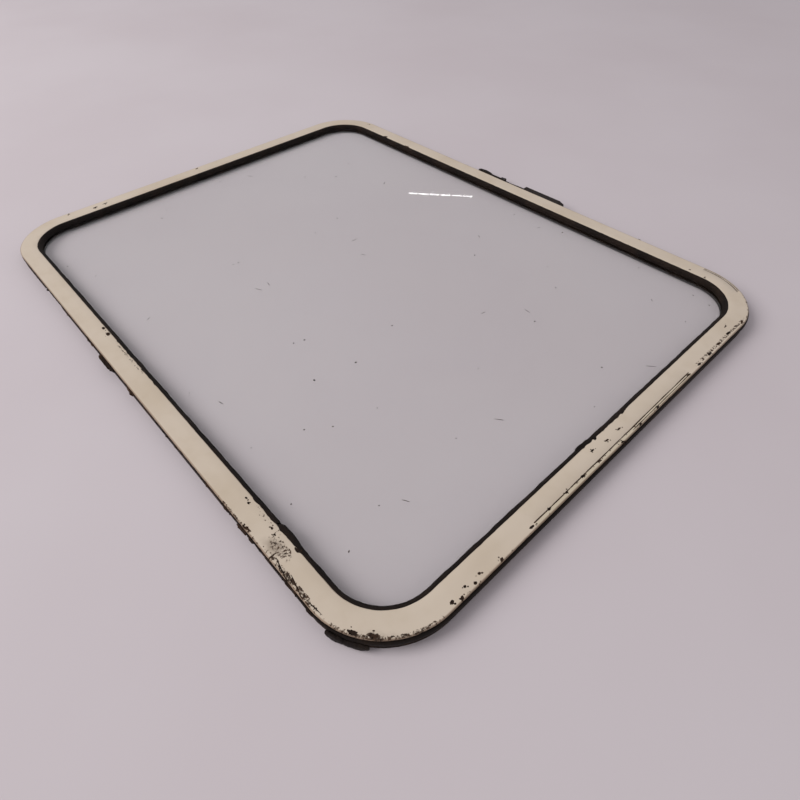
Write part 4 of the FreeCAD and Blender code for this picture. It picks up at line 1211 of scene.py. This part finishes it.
@dataclass
class CrankOperator:
    """Cover, plates, gears, stay, crank and folding grip on the +Y rail."""

    shop: Workshop
    ribs: int = 6

    def build(self) -> None:
        """Make the softened pieces and the ribbed sleeve, and dress the CAD nodes that stay."""
        shop = self.shop
        shop.softened("operator_cover", "pressed_cover", Slot.BLACK, "sash", 0.35)
        shop.softened("operator_base_plate", "base_plate", Slot.ZINC, "sash", 0.25)
        shop.softened("operator_screws", "plate_screws", Slot.ZINC, "sash", 0.2)
        shop.softened("cover_rivets", "cover_rivet_heads", Slot.ZINC, "sash", 0.15)
        shop.softened("crank_arm", "forged_crank", Slot.BLACK, "crank", 0.2)
        shop.softened("crank_screw", "crank_retaining_screw", Slot.ZINC, "crank", 0.25)
        shop.softened("stay_arm", "flat_stay", Slot.ZINC, "stay", 0.25)
        shop.softened("grip_fork", "grip_fork_and_stem", Slot.BLACK, "folding_grip", 0.15)
        for node, slot in (("operator_backing_plate", Slot.RUST), ("spindle_bush", Slot.BRASS),
                           ("idler_post", Slot.GEAR), ("stay_post", Slot.GEAR), ("drive_spindle", Slot.GEAR),
                           ("idler_gear", Slot.GEAR), ("stay_gear", Slot.GEAR), ("stay_eye_bush", Slot.BRASS),
                           ("grip_pin", Slot.ZINC)):
            shop.dress(node, slot)
        self._sleeve()

    def _sleeve(self) -> None:
        """Turn the moulded sleeve: a ringed knob on a slim neck, bored for the stem."""
        low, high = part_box("grip_sleeve")
        middle_y, middle_z = (low.y + high.y) / 2, (low.z + high.z) / 2
        radius, length = (high.z - low.z) / 2, high.x - low.x
        bore = 1.46 * MM
        mesh = bmesh.new()
        points = [(0.0, bore), (0.0, radius * 0.5), (0.015, radius * 0.54), (0.4, radius * 0.52),
                  (0.52, radius * 0.84)]
        for rib in range(self.ribs):
            start = 0.56 + 0.33 * rib / self.ribs
            swell = radius * (0.90 + 0.10 * math.sin(math.pi * rib / (self.ribs - 1)))
            points += [(start, swell - 0.35 * MM), (start + 0.012, swell), (start + 0.042, swell),
                       (start + 0.052, swell - 0.35 * MM)]
        points += [(0.90, radius * 0.9), (0.985, radius * 0.8), (1.0, radius * 0.66), (1.0, bore)]
        verts = [mesh.verts.new((high.x - share * length, middle_y, middle_z + reach))
                 for share, reach in points]
        edges = [mesh.edges.new((verts[index], verts[(index + 1) % len(verts)]))
                 for index in range(len(verts))]
        bmesh.ops.spin(mesh, geom=verts + edges, cent=(0, middle_y, middle_z), axis=(1, 0, 0),
                       angle=2 * math.pi,
                       steps=48, use_merge=True)
        bmesh.ops.recalc_face_normals(mesh, faces=mesh.faces)
        self.shop.piece(mesh, "ribbed_sleeve", Slot.GRIP, "sleeve", ("grip_sleeve",), 35.0)


@dataclass
class Hinges:
    """The two leaf hinges let into the -Y rail."""

    shop: Workshop

    def build(self) -> None:
        """Soften the leaves and dress pins, brackets and rivets."""
        for hand in ("left", "right"):
            self.shop.softened(f"sash_leaf_{hand}", f"folded_sash_leaf_{hand}", Slot.ZINC, "sash", 0.15)
            self.shop.softened(f"surround_leaf_{hand}", f"folded_surround_leaf_{hand}", Slot.ZINC,
                               f"surround_hinge_{hand}", 0.15)
            self.shop.dress(f"hinge_pin_{hand}", Slot.ZINC)
            self.shop.dress(f"hinge_bracket_{hand}", Slot.RUST)
        self.shop.dress("hinge_rivets", Slot.ZINC)


@dataclass
class SashBody:
    """The parts of the sash that keep their CAD shape."""

    shop: Workshop

    def build(self) -> None:
        """Dress the channel, the pane, its blocks and the splice plate."""
        for node, slot in (("rail_channel", Slot.RUST), ("glass_pane", Slot.GLASS),
                           ("setting_blocks", Slot.RUBBER),
                           ("joint_splice_plate", Slot.RUST)):
            self.shop.dress(node, slot)


# ---------------------------------------------------------------- studio

@dataclass
class Studio:
    """Pale floor, a soft window lamp towards -X and -Y, a row of ceiling tubes, and the camera."""

    outline: SashOutline
    camera_from_centre: tuple = (0.43236, -0.31934, 0.35662)
    camera_right: tuple = (0.67742, 0.735365, -0.018621)
    camera_up: tuple = (-0.53631, 0.511061, 0.671708)
    lens: float = 24.63
    tube_height: float = 2.2
    tube_ends: tuple = ((-3.221, 3.075), (-2.738, 3.469))
    tube_parts: int = 6
    tube_lit_share: float = 0.88
    tube_width: float = 0.016
    tube_power: float = 0.035

    def build(self) -> None:
        """Make everything round the object."""
        self._floor()
        self._lights()
        self._camera()
        bpy.context.scene.view_settings.view_transform = "Standard"

    def _floor(self) -> None:
        """Lay the floor."""
        mesh = bmesh.new()
        bmesh.ops.create_grid(mesh, x_segments=1, y_segments=1, size=9.0)
        data = bpy.data.meshes.new("floor")
        mesh.to_mesh(data)
        mesh.free()
        floor = bpy.data.objects.new("floor", data)
        bpy.context.scene.collection.objects.link(floor)
        material, graph, shader = start_material("pale_floor")
        tone = graph.group("Mottle", size=420.0)
        colour = graph.blend(graph.smooth(tone.outputs["Slow"], 0.3, 0.7), linear(208, 199, 202),
                             linear(212, 204, 207))
        graph.tree.links.new(colour, shader.inputs["Base Color"])
        shader.inputs["Roughness"].default_value = 0.75
        shader.inputs["Specular IOR Level"].default_value = 0.2
        data.materials.append(material)

    def _area(self, name: str, place: Vector, aim: Vector, size: tuple[float, float], power: float,
              colour: Colour, mirrored: bool) -> bpy.types.Object:
        """Hang one rectangular lamp.

        Args:
            name: the lamp's name.
            place: where it hangs.
            aim: the point that it faces.
            size: its two sides in metres.
            power: its power in watts.
            colour: its colour.
            mirrored: whether the glass mirrors it.

        Returns:
            The lamp's object.
        """
        data = bpy.data.lights.new(name, "AREA")
        data.shape = "RECTANGLE"
        data.size, data.size_y = size
        data.energy = power
        data.color = colour
        lamp = bpy.data.objects.new(name, data)
        lamp.location = place
        lamp.rotation_euler = (aim - place).to_track_quat("-Z", "Y").to_euler()
        lamp.visible_glossy = mirrored
        lamp.visible_transmission = mirrored
        bpy.context.scene.collection.objects.link(lamp)
        return lamp

    def _lights(self) -> None:
        """Soft window light, sky fill and the row of tubes that the pane mirrors."""
        self._area("window_light", Vector((-1.8, -2.6, 2.6)), Vector((0, 0, 0)), (2.4, 2.4), 108.0,
                   (1.0, 0.98, 0.98), False)
        start, end = (Vector((*place, self.tube_height)) for place in self.tube_ends)
        step = (end - start) / self.tube_parts
        for index in range(self.tube_parts):
            middle = start + step * (index + 0.5)
            lamp = self._area(f"tube_{index}", middle, middle - Vector((0, 0, 1)),
                              (step.length * self.tube_lit_share, self.tube_width), self.tube_power,
                              (1.0, 1.0, 1.0), True)
            lamp.rotation_euler = (0, 0, math.atan2(step.y, step.x))
        world = bpy.data.worlds.new("soft_room")
        world.use_nodes = True
        sky = world.node_tree.nodes["Background"]
        sky.inputs["Color"].default_value = linear(232, 229, 233)
        sky.inputs["Strength"].default_value = 0.565
        bpy.context.scene.world = world

    def _camera(self) -> None:
        """Set up the camera that looks down on the corner between the near rails."""
        right, up = Vector(self.camera_right), Vector(self.camera_up)
        back = right.cross(up)
        place = Vector(self.camera_from_centre) + Vector((0, self.outline.centre_y, self.outline.top))
        matrix = Matrix((right, up, back)).transposed().to_4x4()
        matrix.translation = place
        data = bpy.data.cameras.new("camera")
        data.lens = self.lens
        data.sensor_width = 36.0
        data.clip_start = 0.01
        camera = bpy.data.objects.new("camera", data)
        camera.matrix_world = matrix
        bpy.context.scene.collection.objects.link(camera)
        bpy.context.scene.camera = camera


def main() -> None:
    """Build the sash and its surroundings in order."""
    logging.basicConfig(level=logging.INFO, format="%(message)s")
    outline = SashOutline.from_frame()
    SharedEffects(outline).build()
    Studio(outline).build()
    shop = Workshop(outline, make_finishes())
    SashBody(shop).build()
    PaintedFace(shop).build()
    GlazingBead(shop).build()
    PaneDust(shop).build()
    PerishedSeal(shop).build()
    CrankOperator(shop).build()
    Hinges(shop).build()
    log.info("%d new pieces", shop.made)


if __name__ == "__main__":
    main()
